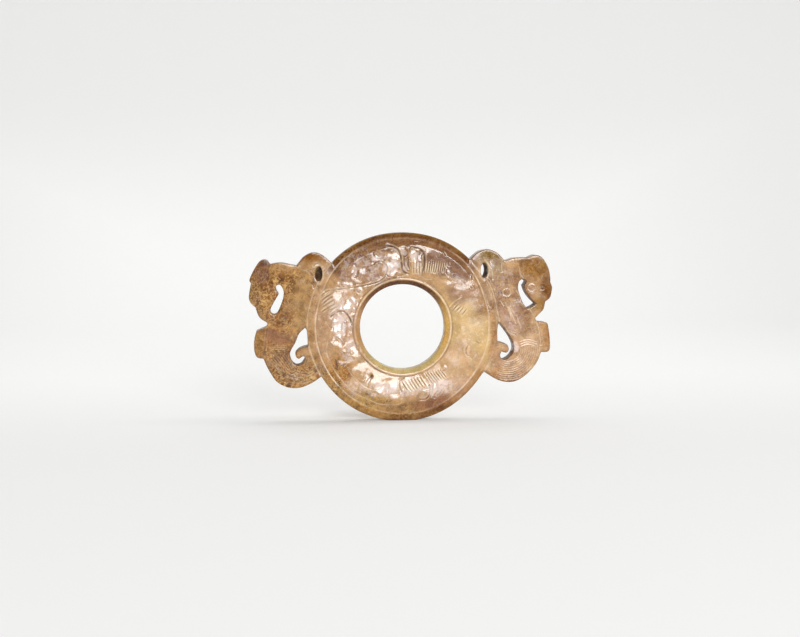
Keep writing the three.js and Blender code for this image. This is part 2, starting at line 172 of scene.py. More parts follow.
class Near:
    """The grid places within reach of a line: distance to it, side (1 on its left) and share along it."""

    def __init__(self, points, reach):
        self.window = grid_window(points.min(axis=0) - reach, points.max(axis=0) + reach)
        self.x = GRID_X[self.window[0]][:, None]
        self.z = GRID_Z[self.window[1]][None, :]
        self.distance = np.full((self.x.size, self.z.size), np.inf)
        self.side = np.zeros_like(self.distance)
        self.along = np.zeros_like(self.distance)
        lengths = np.linalg.norm(np.diff(points, axis=0), axis=1)
        travelled = 0.0
        for start, end, length in zip(points[:-1], points[1:], lengths):
            run = (end - start) / length
            dx = self.x - start[0]
            dz = self.z - start[1]
            share = np.clip(dx * run[0] + dz * run[1], 0, length)
            distance = np.hypot(dx - share * run[0], dz - share * run[1])
            closer = distance < self.distance
            self.distance = np.where(closer, distance, self.distance)
            self.side = np.where(closer, np.sign(run[0] * dz - run[1] * dx), self.side)
            self.along = np.where(closer, travelled + share, self.along)
            travelled += length
        self.length = travelled
        self.along /= travelled

    def fade(self, ends):
        """1 along the line and 0 at its ends, over a length of its own."""
        left = self.along * self.length
        right = (1 - self.along) * self.length
        return ramp(np.minimum(left, right), -0.1 * ends, ends)


def signed_distance(outline):
    """Distance to a closed outline, negative inside. Far from the outline it is only large."""
    closed = np.vstack([outline, outline[:1]])
    keep = np.linalg.norm(np.diff(closed, axis=0), axis=1) > 1e-6
    closed = np.vstack([closed[:-1][keep], closed[:1]])
    near = Near(closed, FAR_AWAY)
    inside = np.zeros(near.distance.shape, bool)
    for (x0, z0), (x1, z1) in zip(closed[:-1], closed[1:]):
        if z0 == z1:
            continue
        crosses = (z0 > near.z) != (z1 > near.z)
        inside ^= crosses & (near.x < x0 + (near.z - z0) * (x1 - x0) / (z1 - z0))
    field = np.full((GRID_X.size, GRID_Z.size), FAR_AWAY)
    field[near.window] = np.where(inside, -near.distance, near.distance)
    return field


def bumps(wavelength, seed):
    """Smooth random field over the grid, mostly between -1 and 1, with bumps one wavelength across."""
    def weights(places):
        scaled = (places - places[0]) / (0.5 * wavelength)
        cell = np.floor(scaled).astype(int)
        share = scaled - cell
        table = np.zeros((places.size, cell[-1] + 4))
        rows = np.arange(places.size)
        for offset, weight in enumerate((
            (1 - share) ** 3,
            3 * share**3 - 6 * share**2 + 4,
            -3 * share**3 + 3 * share**2 + 3 * share + 1,
            share**3,
        )):
            table[rows, cell + offset] = weight / 6
        return table

    across = weights(GRID_X)
    upward = weights(GRID_Z)
    knots = np.random.default_rng(seed).standard_normal((across.shape[1], upward.shape[1]))
    return across @ knots @ upward.T


# Outlines, read off the photograph as runs of pixels. Each run is one smooth curve, and starts where the
# run before it ends.
LEFT_OUTLINE_PX = [
    [(331.5, 262.7), (325, 257), (320, 253.7), (315, 252.6), (310, 253.2), (304, 256.5), (300, 261),
     (296.5, 265.5)],
    [(289, 264), (280, 262.5), (270, 264)],
    [(266.2, 259.8), (260, 261), (254, 269.5), (249.5, 279.5), (250.8, 283.5)],
    [(249.2, 293), (248.8, 298), (250, 302), (252.5, 305), (255.5, 307.5)],
    [(258, 315), (261, 319), (266.8, 322.5)],
    [(267.2, 324.5), (265.5, 327), (256.5, 331)],
    [(254.8, 337), (254, 343), (254.2, 350), (255.5, 355), (258, 358), (263.5, 358.8)],
    [(267, 367), (274, 378.5), (279, 383.5), (288, 387.5), (300, 387.8), (312, 383), (320.3, 377.4)],
    [(344, 352)],
    [(344, 292)],
]
RIGHT_OUTLINE_PX = [
    [(470, 259.4), (475, 254.5), (480, 251), (485, 249.7), (490, 249.5), (498, 253.5), (505, 261)],
    [(510, 259), (515, 257.8), (528.5, 257.2)],
    [(535, 254.8), (542, 257.5), (548, 267), (550.2, 277), (550.3, 282)],
    [(551.8, 286), (552, 289), (550, 297.5), (545.2, 301.5)],
    [(543.5, 309), (540, 313), (535.5, 317.5)],
    [(536, 320), (539, 321.5), (545, 322)],
    [(547.6, 324), (549.3, 334), (550, 346), (549, 350.5), (546, 352), (541, 352)],
    [(537, 362), (530, 371), (520, 379), (510, 382), (498, 380), (485, 372.5)],
    [(462, 350)],
    [(462, 290)],
]
LEFT_NECK_SLOT_PX = [
    [(278, 285), (280, 285), (282.3, 288), (283.8, 293), (282.5, 301), (278, 312), (275, 314.5),
     (272, 314), (270.4, 311), (272, 306), (278.8, 294)],
    [(276.4, 290), (276.2, 286.5), (278, 285)],
]
RIGHT_NECK_SLOT_PX = [
    [(523, 278.5), (526.5, 281.4)],
    [(523.8, 285.8)],
    [(526, 292), (530, 298), (535.9, 303.9)],
    [(532, 306.5), (527.5, 308.5)],
    [(523.1, 303), (519, 292), (518.2, 286.5), (519.5, 281.5), (523, 278.5)],
]
LEFT_SCROLL_SLOT_PX = [
    [(305, 327.8), (306.8, 331), (307.8, 340), (307.8, 346)],
    [(301, 348), (297, 351), (295.5, 354), (296.4, 357.5), (299, 359.2)],
    [(301, 357.6), (303.6, 356.4), (305, 358.5), (302, 363.5), (298, 365.2), (294.5, 364.2), (291.2, 360),
     (290.4, 352), (295.5, 342.5), (299, 334), (305, 327.8)],
]
RIGHT_SCROLL_SLOT_PX = [
    [(499, 322.2), (506, 331), (511.5, 339.5), (514, 348), (511, 355), (505, 359.5), (501.5, 358.2),
     (500.3, 355), (502, 351.2)],
    [(504, 352.5), (507.4, 352.4), (509, 349), (507.3, 344.8), (504, 343.2), (497.6, 341.5)],
    [(497.5, 330), (499, 322.2)],
]
SLOTS_PX = [LEFT_NECK_SLOT_PX, RIGHT_NECK_SLOT_PX, LEFT_SCROLL_SLOT_PX, RIGHT_SCROLL_SLOT_PX]

# Tip of the left creature's ear, which is ground flat
LEFT_EAR = (-40.6, 18.8)

# Suspension holes: middle of the front end in pixels, and how far in mm the far end lies off
HOLES = [((318.7, 273.9), (2.5, 0.6)), ((484.3, 270.2), (-0.5, 0.0))]
HOLE_HALF_WIDTH = 1.02
HOLE_HALF_HEIGHT = 2.1
HOLE_EDGE = 0.25

# The rim was ground by hand, so it runs a little inside a true circle here: middle, half spread and depth
RIM_DIPS = [(90, 22, 0.34), (-42, 26, 0.42), (-148, 18, 0.12)]


def outline_through(runs, half):
    joined = [runs[0]] + [[before[-1], *run] for before, run in zip(runs, runs[1:])]
    return np.vstack([curve(on_stone(run, half)) for run in joined])


def rim_radius(angle):
    """Radius of the ring's outer edge in each direction."""
    radius = np.full(angle.shape, RING_RADIUS)
    for middle, spread, depth in RIM_DIPS:
        radius -= depth * bell((np.degrees(angle) - middle + 180) % 360 - 180, spread)
    return radius


def dome_side(foot, run):
    """Knots of one side of the dome, from its foot to the crest that far off."""
    shares = np.linspace(0, 1, 12)
    return list(zip(foot[0] + run * shares, foot[1] + np.sin(shares * math.pi / 2) * (CREST - foot[1])))


def ring_half(radius, groove):
    """Distance from the middle plane to the ring's face by radius: bevel, lip, dome, border and rim."""
    inner = dome_side(LIP_KNOTS[-1], LIP_TO_CREST)
    outer = dome_side(BORDER_KNOT, BORDER_TO_CREST)
    knots = [*LIP_KNOTS, *inner[1:], *outer[::-1], (GROOVE_RADIUS, BORDER_HALF - groove), *RIM_KNOTS]
    return np.interp(radius, *np.array(knots).T)


def bevelled_half(radius, crest, start):
    """The same at the top of the ring, where one bevel runs from the crest down to the rim."""
    knots = [*LIP_KNOTS, (17.5, crest - 0.08), (BEVELLED_CREST, crest), (start, crest)]
    knots.append((BEVEL_END, crest - BEVEL_SLOPE * (BEVEL_END - start)))
    return np.interp(radius, *np.array(knots).T)


x_grid, z_grid = np.meshgrid(GRID_X, GRID_Z, indexing="ij")
radius_grid = np.hypot(x_grid, z_grid)
angle_grid = np.arctan2(z_grid, x_grid)

ring_edge = radius_grid - rim_radius(angle_grid)
evened_radius = radius_grid + (RING_RADIUS - rim_radius(angle_grid)) * ramp(radius_grid, 15, 25)
left_edge = signed_distance(outline_through(LEFT_OUTLINE_PX, CREATURE_HALF - 0.3))
right_edge = signed_distance(outline_through(RIGHT_OUTLINE_PX, CREATURE_HALF - 0.3))
creature_edge = np.minimum(left_edge, right_edge)
border_radius = BORDER_RADIUS + 0.75 * ramp(z_grid, 8, 19)
bore_edge = BORE_RADIUS - radius_grid
slot_edge = -FAR_AWAY * np.ones_like(ring_edge)
for slot in SLOTS_PX:
    lift(slot_edge, -signed_distance(outline_through(slot, CREATURE_HALF)))
edge = np.minimum(ring_edge, creature_edge)
edge = np.maximum(edge, np.maximum(bore_edge, slot_edge))


def plain_half():
    """Distance from the middle plane to the faces before they are carved."""
    worn = 0.015 * np.exp(-np.clip(-edge, 0, None) / 0.5)
    swell = 0.1 * bell(np.clip(ring_edge, 0, None), 2.5)
    creature = np.where(creature_edge < 0.4, CREATURE_HALF + 0.06 + swell - worn, 0)

    # The free rim falls back, and above the middle the ring steps down onto the creatures
    fall = RIM_FALL * ramp(evened_radius, 25.8, 27.8) * ramp(creature_edge, -0.3, 1.5)
    root = (1 - ramp(creature_edge, -0.8, 0.2)) * ramp(z_grid, 3, 9)
    fall = np.maximum(fall, ROOT_STEP * root * ramp(evened_radius, 25.5, 25.9))

    # The border is shallower towards the foot, and a bevel takes its place towards the top
    grooved = ring_half(evened_radius, BORDER_GROOVE)
    section = grooved - fall
    section += ramp(-z_grid, 8, 19) * (ring_half(evened_radius, FOOT_GROOVE) - grooved)
    top = ramp(z_grid, 6, 17) * ramp(creature_edge, -2.5, 0.5)
    away = ramp(x_grid, 1, 7)
    for share, crest, start in ((1 - away, CREST, 23.8), (away, CREST - 0.2, 24.6)):
        section += top * share * (bevelled_half(evened_radius, crest, start) - section)
    return np.maximum(creature, np.where(ring_edge < 0.6, section, 0))


class Face:
    """One face of the stone: heights above the middle plane, and what is cut, raised and stained on it,
    with painted shade and painted highlights among the stains.
    """

    def __init__(self, seed):
        self.seed = seed
        self.base = plain_half()
        self.cut, self.slope, self.raised, self.pale, self.dark, self.polish_and_highlight = np.zeros((6, *edge.shape))
        self.unsteady = 1 + 0.45 * bumps(1.7, seed + 3)
        carved = ramp(-ring_edge, 2.0, 4.0) * ramp(radius_grid, 14.3, 15.6)
        quiet = np.maximum(ramp(x_grid, 7, 14), ramp(z_grid, 17, 21))
        lively = carved * (1 - 0.65 * quiet)
        calm = 1 - 0.65 * ramp(x_grid, 5, 10) * ramp(z_grid, 7, 12)
        calm *= 1 - 0.9 * (1 - ramp(np.hypot(x_grid - LEFT_EAR[0], z_grid - LEFT_EAR[1]), 2.0, 4.0))
        self.hand = calm * sum((everywhere + added * lively) * bumps(wavelength, seed + number)
                               for number, (wavelength, everywhere, added) in enumerate(HAND_BUMPS))

    def heights(self):
        level = self.base + self.hand + self.raised - np.maximum(self.cut, self.slope)
        return np.minimum(level, CREST_HALF + 0.02)

    def facet(self, patches):
        """Polishes patches, which also get a painted highlight, and grinds them in small ragged facets that
        lean back towards the top.
        """
        rng = np.random.default_rng(self.seed + 8)
        ragged = 0.3 * bumps(1.6, self.seed + 5)
        share = np.zeros_like(self.base)
        for middle, spreads in patches:
            across = (x_grid - middle[0]) / spreads[0]
            upward = (z_grid - middle[1]) / spreads[1]
            lift(share, 1 - ramp(np.hypot(across, upward) + ragged, 0.5, 1.3))
        x_bent = x_grid + bumps(2.3, self.seed + 6)
        z_bent = z_grid + bumps(2.3, self.seed + 7)
        nearest = np.full_like(self.base, np.inf)
        extra, off, aside = np.zeros((3, *edge.shape))
        reach = 1.6 * FACET_SIZE
        span = np.arange(-RING_RADIUS, RING_RADIUS, FACET_SIZE)
        for x in span:
            for z in span:
                middle = np.array([x, z]) + rng.uniform(-0.5, 0.5, 2) * FACET_SIZE
                turn, nod = rng.normal(0, FACET_TILTS)
                window = grid_window(middle - reach, middle + reach)
                if share[window].max(initial=0) <= 0:
                    continue
                distance = np.hypot(x_bent[window] - middle[0], z_bent[window] - middle[1])
                dx = x_grid[window] - middle[0]
                dz = z_grid[window] - middle[1]
                closer = distance < nearest[window]
                found = (nearest, distance), (extra, turn * dx + nod * dz), (off, dz), (aside, dx)
                for field, values in found:
                    np.copyto(field[window], values, where=closer)
        lean = np.clip(FACET_LEAN - np.gradient(self.base, PITCH, axis=1), -0.3, 0.1)
        turned = np.clip(FACET_TURN - np.gradient(self.base, PITCH, axis=0), -0.15, 0.15)
        step = lean * (off + 0.6 * FACET_SIZE) + turned * aside + extra
        for axis in FACET_SOFTENING * (0, 1):
            step = (np.roll(step, 1, axis) + 2 * step + np.roll(step, -1, axis)) / 4
        self.base += share * step
        self.hand *= 1 - 0.45 * share
        lift(self.polish_and_highlight, share)

    def groove(self, line, width, depth, ends=0.5, pale=0.0, dark=0.0, shoulder_highlight=0.0):
        """Engraved line. It may be pale at the bottom, with weathered filling, or dark, with painted shade,
        and have slightly raised edges that are painted pale as a highlight.
        """
        near = Near(line, 2.6 * width)
        fade = near.fade(ends) * self.unsteady[near.window]
        core = bell(near.distance / width, 0.5)
        sides = bell(near.distance / width - 1.0, 0.4)
        lift(self.cut, depth * fade * core, near.window)
        lift(self.raised, 0.25 * depth * fade * sides, near.window)
        lift(self.pale, fade * np.maximum(pale * core, shoulder_highlight * sides), near.window)
        lift(self.dark, dark * fade * core, near.window)

    def slant(self, line, reach, depth):
        """Slanting cut: steep at the line, and easing back up over its reach on the line's right."""
        near = Near(line, 2.2 * reach)
        spread = np.where(near.side < 0, reach, 0.16)
        shape = near.fade(1.2) * np.exp(-((near.distance / spread) ** 1.6))
        lift(self.slope, depth * shape, near.window)

    def spot(self, middle, spread, turn=0.0):
        """Dark spot, turned by so many degrees."""
        cosine, sine = math.cos(math.radians(turn)), math.sin(math.radians(turn))
        x, z = x_grid - middle[0], z_grid - middle[1]
        across = (x * cosine + z * sine) / spread[0]
        upward = (z * cosine - x * sine) / spread[1]
        lift(self.dark, 1.2 * np.exp(-(across**2) - upward**2))

    def knob(self, middle, spread, height):
        """Low mound, or a hollow where the height is negative. A mound is polished and also gets a painted
        highlight.
        """
        near = Near(np.array([middle, middle + (0.01, 0)]), 3 * max(spread))
        x = near.x - middle[0]
        z = near.z - middle[1]
        shape = np.exp(-((x / spread[0]) ** 2) - (z / spread[1]) ** 2)
        self.base[near.window] += height * shape
        if height > 0:
            lift(self.polish_and_highlight, 0.7 * shape, near.window)


# Level of the ring's face that lines are thrown onto
RING_FACE = 3.1

# Widths and depths of the engraving
LINE_WIDTH = 0.36
LINE_DEPTH = 0.24
FINE_WIDTH = 0.3
FINE_DEPTH = 0.14
FAINT_DEPTH = 0.03

# Bead on the lip: its radius and that of its foot, and the direction in which its painted highlight is
# brightest. Painted shade lies along its foot.
BEAD_RADIUS = 14.2
BEAD_FOOT_RADIUS = 14.68
BEAD_HIGHLIGHT_DIRECTION = math.radians(50)

# Long lines of the body on the ring, cut deep and painted dark with shade
BODY_LINES_PX = [
    [(323, 292), (330, 290.5), (345, 288.5), (360, 286.5), (372, 284), (380, 281), (385, 276.5),
     (387.5, 270), (386, 264.5), (381, 261), (376, 262), (373, 266)],
    [(385, 245), (392, 246.5), (398, 250), (400.5, 256), (401.5, 264), (402.5, 270), (406, 273),
     (410, 274.5)],
    [(410, 247), (414, 247.5), (419, 249), (423, 252), (424.5, 258), (424, 265), (423, 272)],
    [(330, 317), (336, 313), (341, 311), (346, 313), (350, 319), (353, 326.5)],
]
# Lines of the back and belly, filled with pale weathering
PALE_LINES_PX = [
    [(328, 341), (326.8, 352.7), (330, 360.6), (334.3, 369.9), (342.9, 381.3), (354.3, 392.7), (368, 399),
     (380, 404), (400, 404.5)],
    [(347, 366), (352, 375), (363, 385), (371, 389), (378, 390), (384, 386), (387, 381)],
    [(421, 276), (424, 278), (428, 279.5), (433, 279.5)],
    [(449, 308), (453, 303), (457, 300), (463, 296)],
]
# Short cuts on the ring
SHORT_LINES_PX = [
    [(405, 378), (401, 379.5), (399.5, 384), (400.5, 389), (402, 392)],
    [(419, 399.5), (425, 399), (429, 395), (430, 389), (428.5, 384)],
    [(334, 336), (338, 338), (341, 341), (343, 344)], [(404, 257), (404.5, 265), (407.5, 271)],
    [(408.5, 258), (408, 264), (409.5, 270)], [(443.5, 252), (446, 256)], [(445, 262), (447, 268)],
    [(448, 262), (449, 266)], [(446, 272), (449, 277)], [(472, 273), (472, 280)],
    [(470, 286), (473, 289)], [(476, 341), (480, 344)],
    [(468, 345), (465.5, 350), (467, 355), (469.5, 356)], [(433, 384), (432, 392), (430.5, 398)],
]
# Combs of parallel cuts: how many, the first one and the last one
RING_COMBS_PX = [
    (4, [(414, 260), (413.5, 275)], [(422.5, 261), (422, 275.5)]),
    (9, [(428, 261), (426.5, 274)], [(446.5, 261), (444, 274)]),
    (4, [(452, 311), (458, 304)], [(461, 316), (467, 308)]),
    (7, [(401.5, 381.5), (409, 393)], [(419, 375.5), (427, 387.5)]),
    (7, [(424, 372), (434, 385.5)], [(439, 368.5), (447, 378.5)]),
]
# Strokes at the root of the haunch, as cuts painted dark with shade between ridges with a painted highlight
HAUNCH_STROKES_PX = [
    [(320, 297), (325, 292.5), (331, 289.5)], [(320.5, 301.5), (326, 297), (332.5, 293)],
    [(321, 305.5), (327, 300), (333, 296)], [(320.5, 309), (327.5, 303.5), (334.5, 299.5)],
    [(320, 313), (329, 307), (336, 303)], [(329, 311.5), (333, 308.5), (337.5, 306.5)],
    [(329.5, 316), (334, 312), (339, 310)],
]
# Lines and combs of the two creatures
LEFT_LINES_PX = [
    [(269.5, 262), (268.5, 268), (266, 275), (260, 281.5), (251.5, 284)],
    [(267, 324), (266.5, 333), (265, 345), (265.5, 357)],
    [(312.3, 283.5), (314, 288), (317.5, 289), (320.3, 286)],
    [(312.5, 267.5), (315.5, 264.3), (320.5, 264.5)],
]
LEFT_COMBS_PX = [
    (4, [(267, 347.5), (277, 346), (291, 347.5)], [(267, 353.5), (276, 352), (287, 353)]),
    (8, [(268, 357), (276, 366), (284, 376)], [(286, 353.5), (291, 361.5), (296, 369.5)]),
    (5, [(277, 377), (287, 382), (298, 385)], [(291, 369.5), (301, 373.5), (310, 374)]),
    (4, [(300, 383.5), (309, 380.5), (316, 376)], [(303, 373), (309, 371.5), (314, 368)]),
]
RIGHT_LINES_PX = [
    [(487, 279), (491, 287), (494, 296), (496.5, 306), (498.5, 316), (500, 322)],
    [(529, 308), (534, 316), (538, 326), (540, 336), (541, 346)], [(516, 290), (520, 297)],
    [(508, 305), (512, 314), (516, 324)], [(505, 301), (508, 308), (511, 315)],
    [(516, 314), (521, 327)], [(500, 300), (504, 306)], [(504, 324), (509, 332), (516, 335)],
    [(519.5, 267), (520.5, 274), (524.5, 279.5)], [(488, 262), (492, 270), (493, 280)],
    [(502, 262), (502, 272)],
]
RIGHT_COMBS_PX = [
    (3, [(519, 341.5), (528, 339), (538, 342)], [(520, 346), (528, 343.5), (537.5, 346)]),
]
# Tail hair of the right creature: concentric lines
HAIR_CENTRE_PX = (508, 348)
HAIR_RADII_PX = np.linspace(13, 31.5, 10)
HAIR_START_DEGREES = 18
HAIR_END_DEGREES = -118

# Drilled marks: middle and radius, in pixels
DRILLED_RING_PX = ((506.7, 292), 4.0)
EYE_PX = ((542.3, 288), 1.9)
CHEEK_RING_PX = ((531.8, 287), 3.8)
PIT_PX = (371.5, 376.5)

# Knobs and hollows of the carving: middle in pixels, half spreads in mm and height in mm
KNOBS_PX = [
    ((379.5, 268), (1.5, 1.4), 0.2), ((396, 262), (1.8, 2.8), 0.1), ((415, 254), (1.7, 1.5), 0.12),
    ((338, 326), (2.0, 3.2), 0.1), ((385, 392), (4.2, 1.7), 0.1), ((423, 391), (1.5, 1.5), 0.16),
    ((447.5, 285), (1.0, 0.9), 0.15), ((457, 291), (1.9, 1.1), 0.07), ((472, 288), (0.6, 0.6), 0.09),
    ((448.5, 275), (0.6, 1.4), 0.09), ((461, 331), (0.8, 1.5), 0.13), ((468, 352), (0.9, 1.5), 0.2),
    ((443, 390), (1.0, 1.8), 0.16), ((427, 253), (0.6, 1.6), 0.12), ((444, 369), (1.0, 1.0), 0.12),
    ((348, 333), (0.8, 2.6), -0.16), ((365, 268), (1.2, 2.0), -0.12), ((407, 262), (0.8, 2.2), -0.12),
    ((492.5, 268), (0.7, 2.0), 0.05), ((404, 397), (1.1, 1.6), -0.14), ((360, 364), (2.2, 1.5), -0.1),
    ((515, 346), (0.9, 2.2), 0.1),
]

# Polished patches of the relief, which also get a painted highlight: middle in pixels and half spreads in
# mm
POLISHED_PX = [
    ((393, 259), (2.6, 3.2)), ((394, 271.5), (3.4, 1.7)), ((404, 252.5), (1.1, 1.1)),
    ((415, 255.5), (2.1, 2.2)), ((406, 267), (0.8, 1.5)), ((337, 327), (2.0, 3.9)),
    ((351.5, 304), (2.5, 3.0)), ((344, 319), (1.2, 1.2)), ((417, 265), (1.3, 1.5)),
    ((353, 350), (2.1, 1.9)), ((340, 342), (1.6, 1.1)), ((360, 292), (1.6, 1.7)),
    ((346, 284), (2.4, 1.1)), ((354, 270), (1.2, 1.9)), ((380, 254), (1.7, 1.4)),
    ((387, 243.7), (0.9, 0.5)), ((403, 246.5), (0.9, 0.6)), ((367, 378), (1.2, 2.3)),
    ((381, 391), (2.9, 1.8)), ((393, 391), (2.9, 2.2)), ((434, 387), (1.0, 2.6)),
    ((424, 390.5), (1.3, 1.3)), ((444, 368), (1.0, 0.9)),
]

# Parts of the faces that pale clouding runs through, partly as a painted highlight: middle and half spreads
# in pixels, and strength
CLOUDED_AND_HIGHLIT_PX = [
    ((364, 266), (32, 18), 0.45), ((339, 327), (8, 14), 0.85), ((347, 303), (8, 8), 0.7),
    ((390, 268), (9, 9), 0.9), ((414, 256), (6, 7), 0.75), ((388, 388), (16, 7), 0.85),
    ((352, 352), (9, 8), 0.7), ((344, 310), (18, 26), 0.55), ((350, 352), (12, 14), 0.5),
    ((392, 388), (44, 11), 0.6), ((438, 384), (14, 12), 0.8), ((375, 259), (6, 4), 0.8),
    ((455, 284), (18, 6), 0.25), ((464, 345), (10, 22), 0.3), ((510, 322), (14, 20), 0.3),
    ((506, 285), (13, 16), 0.3), ((531, 292), (6, 8), 0.3), ((462, 358), (16, 12), 0.25),
    ((515.5, 347), (3.5, 8), 0.7), ((492, 268), (5, 9), 0.4), ((312, 368), (12, 14), 0.2),
]

# Facets: how steeply they lean back and turn aside, their size, their uneven tilts and how soft they are
FACET_LEAN = -0.18
FACET_TURN = -0.05
FACET_SIZE = 3.0
FACET_TILTS = (0.03, 0.02)
FACET_SOFTENING = 12


def spot_on_stone(pixel, half):
    return on_stone([pixel], half)[0]


def comb(count, first, last):
    """Lines spread evenly from the first to the last."""
    first, last = np.array(first, float), np.array(last, float)
    return [first + share * (last - first) for share in np.linspace(0, 1, count)]


def hair_lines():
    angles = np.radians(np.linspace(HAIR_START_DEGREES, HAIR_END_DEGREES, 14))
    turned = np.column_stack([np.cos(angles), -np.sin(angles)])
    return [np.array(HAIR_CENTRE_PX) + radius * turned for radius in HAIR_RADII_PX]


def circle_px(centre, radius):
    angles = np.linspace(0, 2 * math.pi, 25)
    return np.array(centre) + radius * np.column_stack([np.cos(angles), np.sin(angles)])


def engrave_ring(face):
    def line(pixels):
        return curve(on_stone(pixels, RING_FACE))

    for pixels, spreads, height in KNOBS_PX:
        face.knob(spot_on_stone(pixels, RING_FACE), spreads, height)
    face.facet([(spot_on_stone(pixels, RING_FACE), spreads) for pixels, spreads in POLISHED_PX])
    # Dark cuts get painted shade, and raised edges a painted highlight, here and in the cuts, strokes and
    # combs below
    for number, pixels in enumerate(BODY_LINES_PX):
        deep = min(number, 1)
        width = (1 + 0.3 * deep) * LINE_WIDTH
        face.groove(line(pixels), width, LINE_DEPTH, dark=0.5 + 0.4 * deep, shoulder_highlight=0.4)
        face.slant(line(pixels), 1.0, 0.2)
    for pixels in PALE_LINES_PX:
        face.groove(line(pixels), 0.8 * LINE_WIDTH, 0.4 * LINE_DEPTH, pale=0.5)
        face.slant(line(pixels), 0.8, 0.1)
    for pixels in SHORT_LINES_PX:
        face.groove(line(pixels), LINE_WIDTH, 0.9 * LINE_DEPTH, ends=0.4, dark=0.3, shoulder_highlight=0.4)
    for pixels in HAUNCH_STROKES_PX:
        face.groove(line(pixels), LINE_WIDTH, 0.9 * LINE_DEPTH, ends=1.0, dark=0.45, shoulder_highlight=0.6)
    vary = np.random.default_rng(face.seed + 9)
    for count, first, last in RING_COMBS_PX:
        for pixels in comb(count, first, last):
            pixels += vary.normal(0, 0.12, pixels.shape)
            face.groove(line(pixels), 0.8 * LINE_WIDTH, vary.uniform(0.6, 1.0) * LINE_DEPTH, ends=1.3,
                        dark=vary.uniform(0.5, 0.8), shoulder_highlight=vary.uniform(0.8, 1.4))
    from_border = evened_radius - border_radius
    aside = ramp(np.abs(np.cos(angle_grid)), 0.4, 0.9)
    lift(face.cut, 0.05 * aside * bell(from_border + 0.25, 0.18) * face.unsteady)
    lift(face.pale, bell(from_border + 0.15, 0.16) * (0.22 + 0.45 * aside) * face.unsteady)
    # Pale line on the lip's bead, with a painted highlight brightest in one direction, and painted shade
    # along its foot
    lip_pale_and_highlight = bell(radius_grid - BEAD_RADIUS, 0.2) * (0.45 + 0.25 * np.cos(angle_grid - BEAD_HIGHLIGHT_DIRECTION))
    lift(face.pale, lip_pale_and_highlight * face.unsteady)
    lift(face.dark, 0.5 * bell(radius_grid - BEAD_FOOT_RADIUS, 0.16) * face.unsteady)


def engrave_creatures(face):
    def line(pixels):
        return curve(on_stone(pixels, CREATURE_HALF))

    # Dark cuts get painted shade, and raised edges a painted highlight
    for pixels in LEFT_LINES_PX:
        face.groove(line(pixels), LINE_WIDTH, 0.2 * LINE_DEPTH, dark=0.3, shoulder_highlight=0.1)
    for pixels in RIGHT_LINES_PX:
        face.groove(line(pixels), LINE_WIDTH, 0.7 * LINE_DEPTH, pale=0.55)
    vary = np.random.default_rng(face.seed + 10)
    for count, first, last in LEFT_COMBS_PX:
        for pixels in comb(count, first, last):
            pixels += vary.normal(0, 0.35, pixels.shape)
            face.groove(line(pixels), FINE_WIDTH, 0.7 * FAINT_DEPTH, ends=1.6,
                        dark=vary.uniform(0.2, 0.45), shoulder_highlight=vary.uniform(0.1, 0.35))
    for count, first, last in RIGHT_COMBS_PX:
        for pixels in comb(count, first, last):
            face.groove(line(pixels), FINE_WIDTH, 0.5 * FINE_DEPTH, pale=0.45)
    for pixels in hair_lines():
        face.groove(line(pixels), FINE_WIDTH, FAINT_DEPTH, ends=1.6, pale=0.38)
    for (centre, radius), pale in ((DRILLED_RING_PX, 0.5), (CHEEK_RING_PX, 0.12), (EYE_PX, 0.05)):
        ring = on_stone(circle_px(centre, radius), CREATURE_HALF)
        face.groove(ring, FINE_WIDTH, FAINT_DEPTH, ends=0.01, pale=pale)
    face.spot(spot_on_stone(EYE_PX[0], CREATURE_HALF), (0.3, 0.3))
    # The pit is cut as a hollow and painted dark with shade
    pit = spot_on_stone(PIT_PX, RING_FACE)
    face.knob(pit, (0.35, 0.45), -0.6)
    face.spot(pit, (0.3, 0.65), -35)
    for side, strength in ((left_edge, 0.45), (right_edge, 0.2)):
        rim = np.abs(ring_edge + 0.1) + np.where(side < 0.2, 0, FAR_AWAY)
        lift(face.cut, 0.08 * bell(rim, 0.2))
        lift(face.pale, strength * bell(rim, 0.19) * face.unsteady)


front = Face(11)
back = Face(41)
for face in (front, back):
    engrave_ring(face)
    engrave_creatures(face)


def rounded_corner(first, second, radius):
    """Where both distances are negative, with the corner between their surfaces rounded off."""
    beyond = np.hypot(np.maximum(first + radius, 0), np.maximum(second + radius, 0))
    return np.minimum(np.maximum(first, second), -radius) + beyond


def hole_distance(centre_px, drift, x, y, z):
    """Distance into a suspension hole's wall, negative inside the hole. It leans by its drift."""
    centre = spot_on_stone(centre_px, CREATURE_HALF)
    share = (y + CREATURE_HALF) / (2 * CREATURE_HALF)
    dx = (x - centre[0] - share * drift[0]) / HOLE_HALF_WIDTH
    dz = (z - centre[1] - share * drift[1]) / HOLE_HALF_HEIGHT
    return (np.hypot(dx, dz) - 1) * HOLE_HALF_WIDTH


def stone_field():
    """Negative inside the stone, in mm, at every place of the grid."""
    front_half = front.heights()
    back_half = back.heights()
    floor = -CENTRE_UP - z_grid
    values = np.empty((GRID_X.size, GRID_Y.size, GRID_Z.size), np.float32)
    for layer, y in enumerate(GRID_Y):
        depth = -y - front_half if y < 0 else y - back_half
        level = rounded_corner(edge, depth, WORN_EDGE)
        holes = [hole_distance(centre_px, drift, x_grid, y, z_grid) for centre_px, drift in HOLES]
        level = rounded_corner(level, -np.minimum(*holes), HOLE_EDGE)
        values[:, layer, :] = np.maximum(level, floor)
    return values


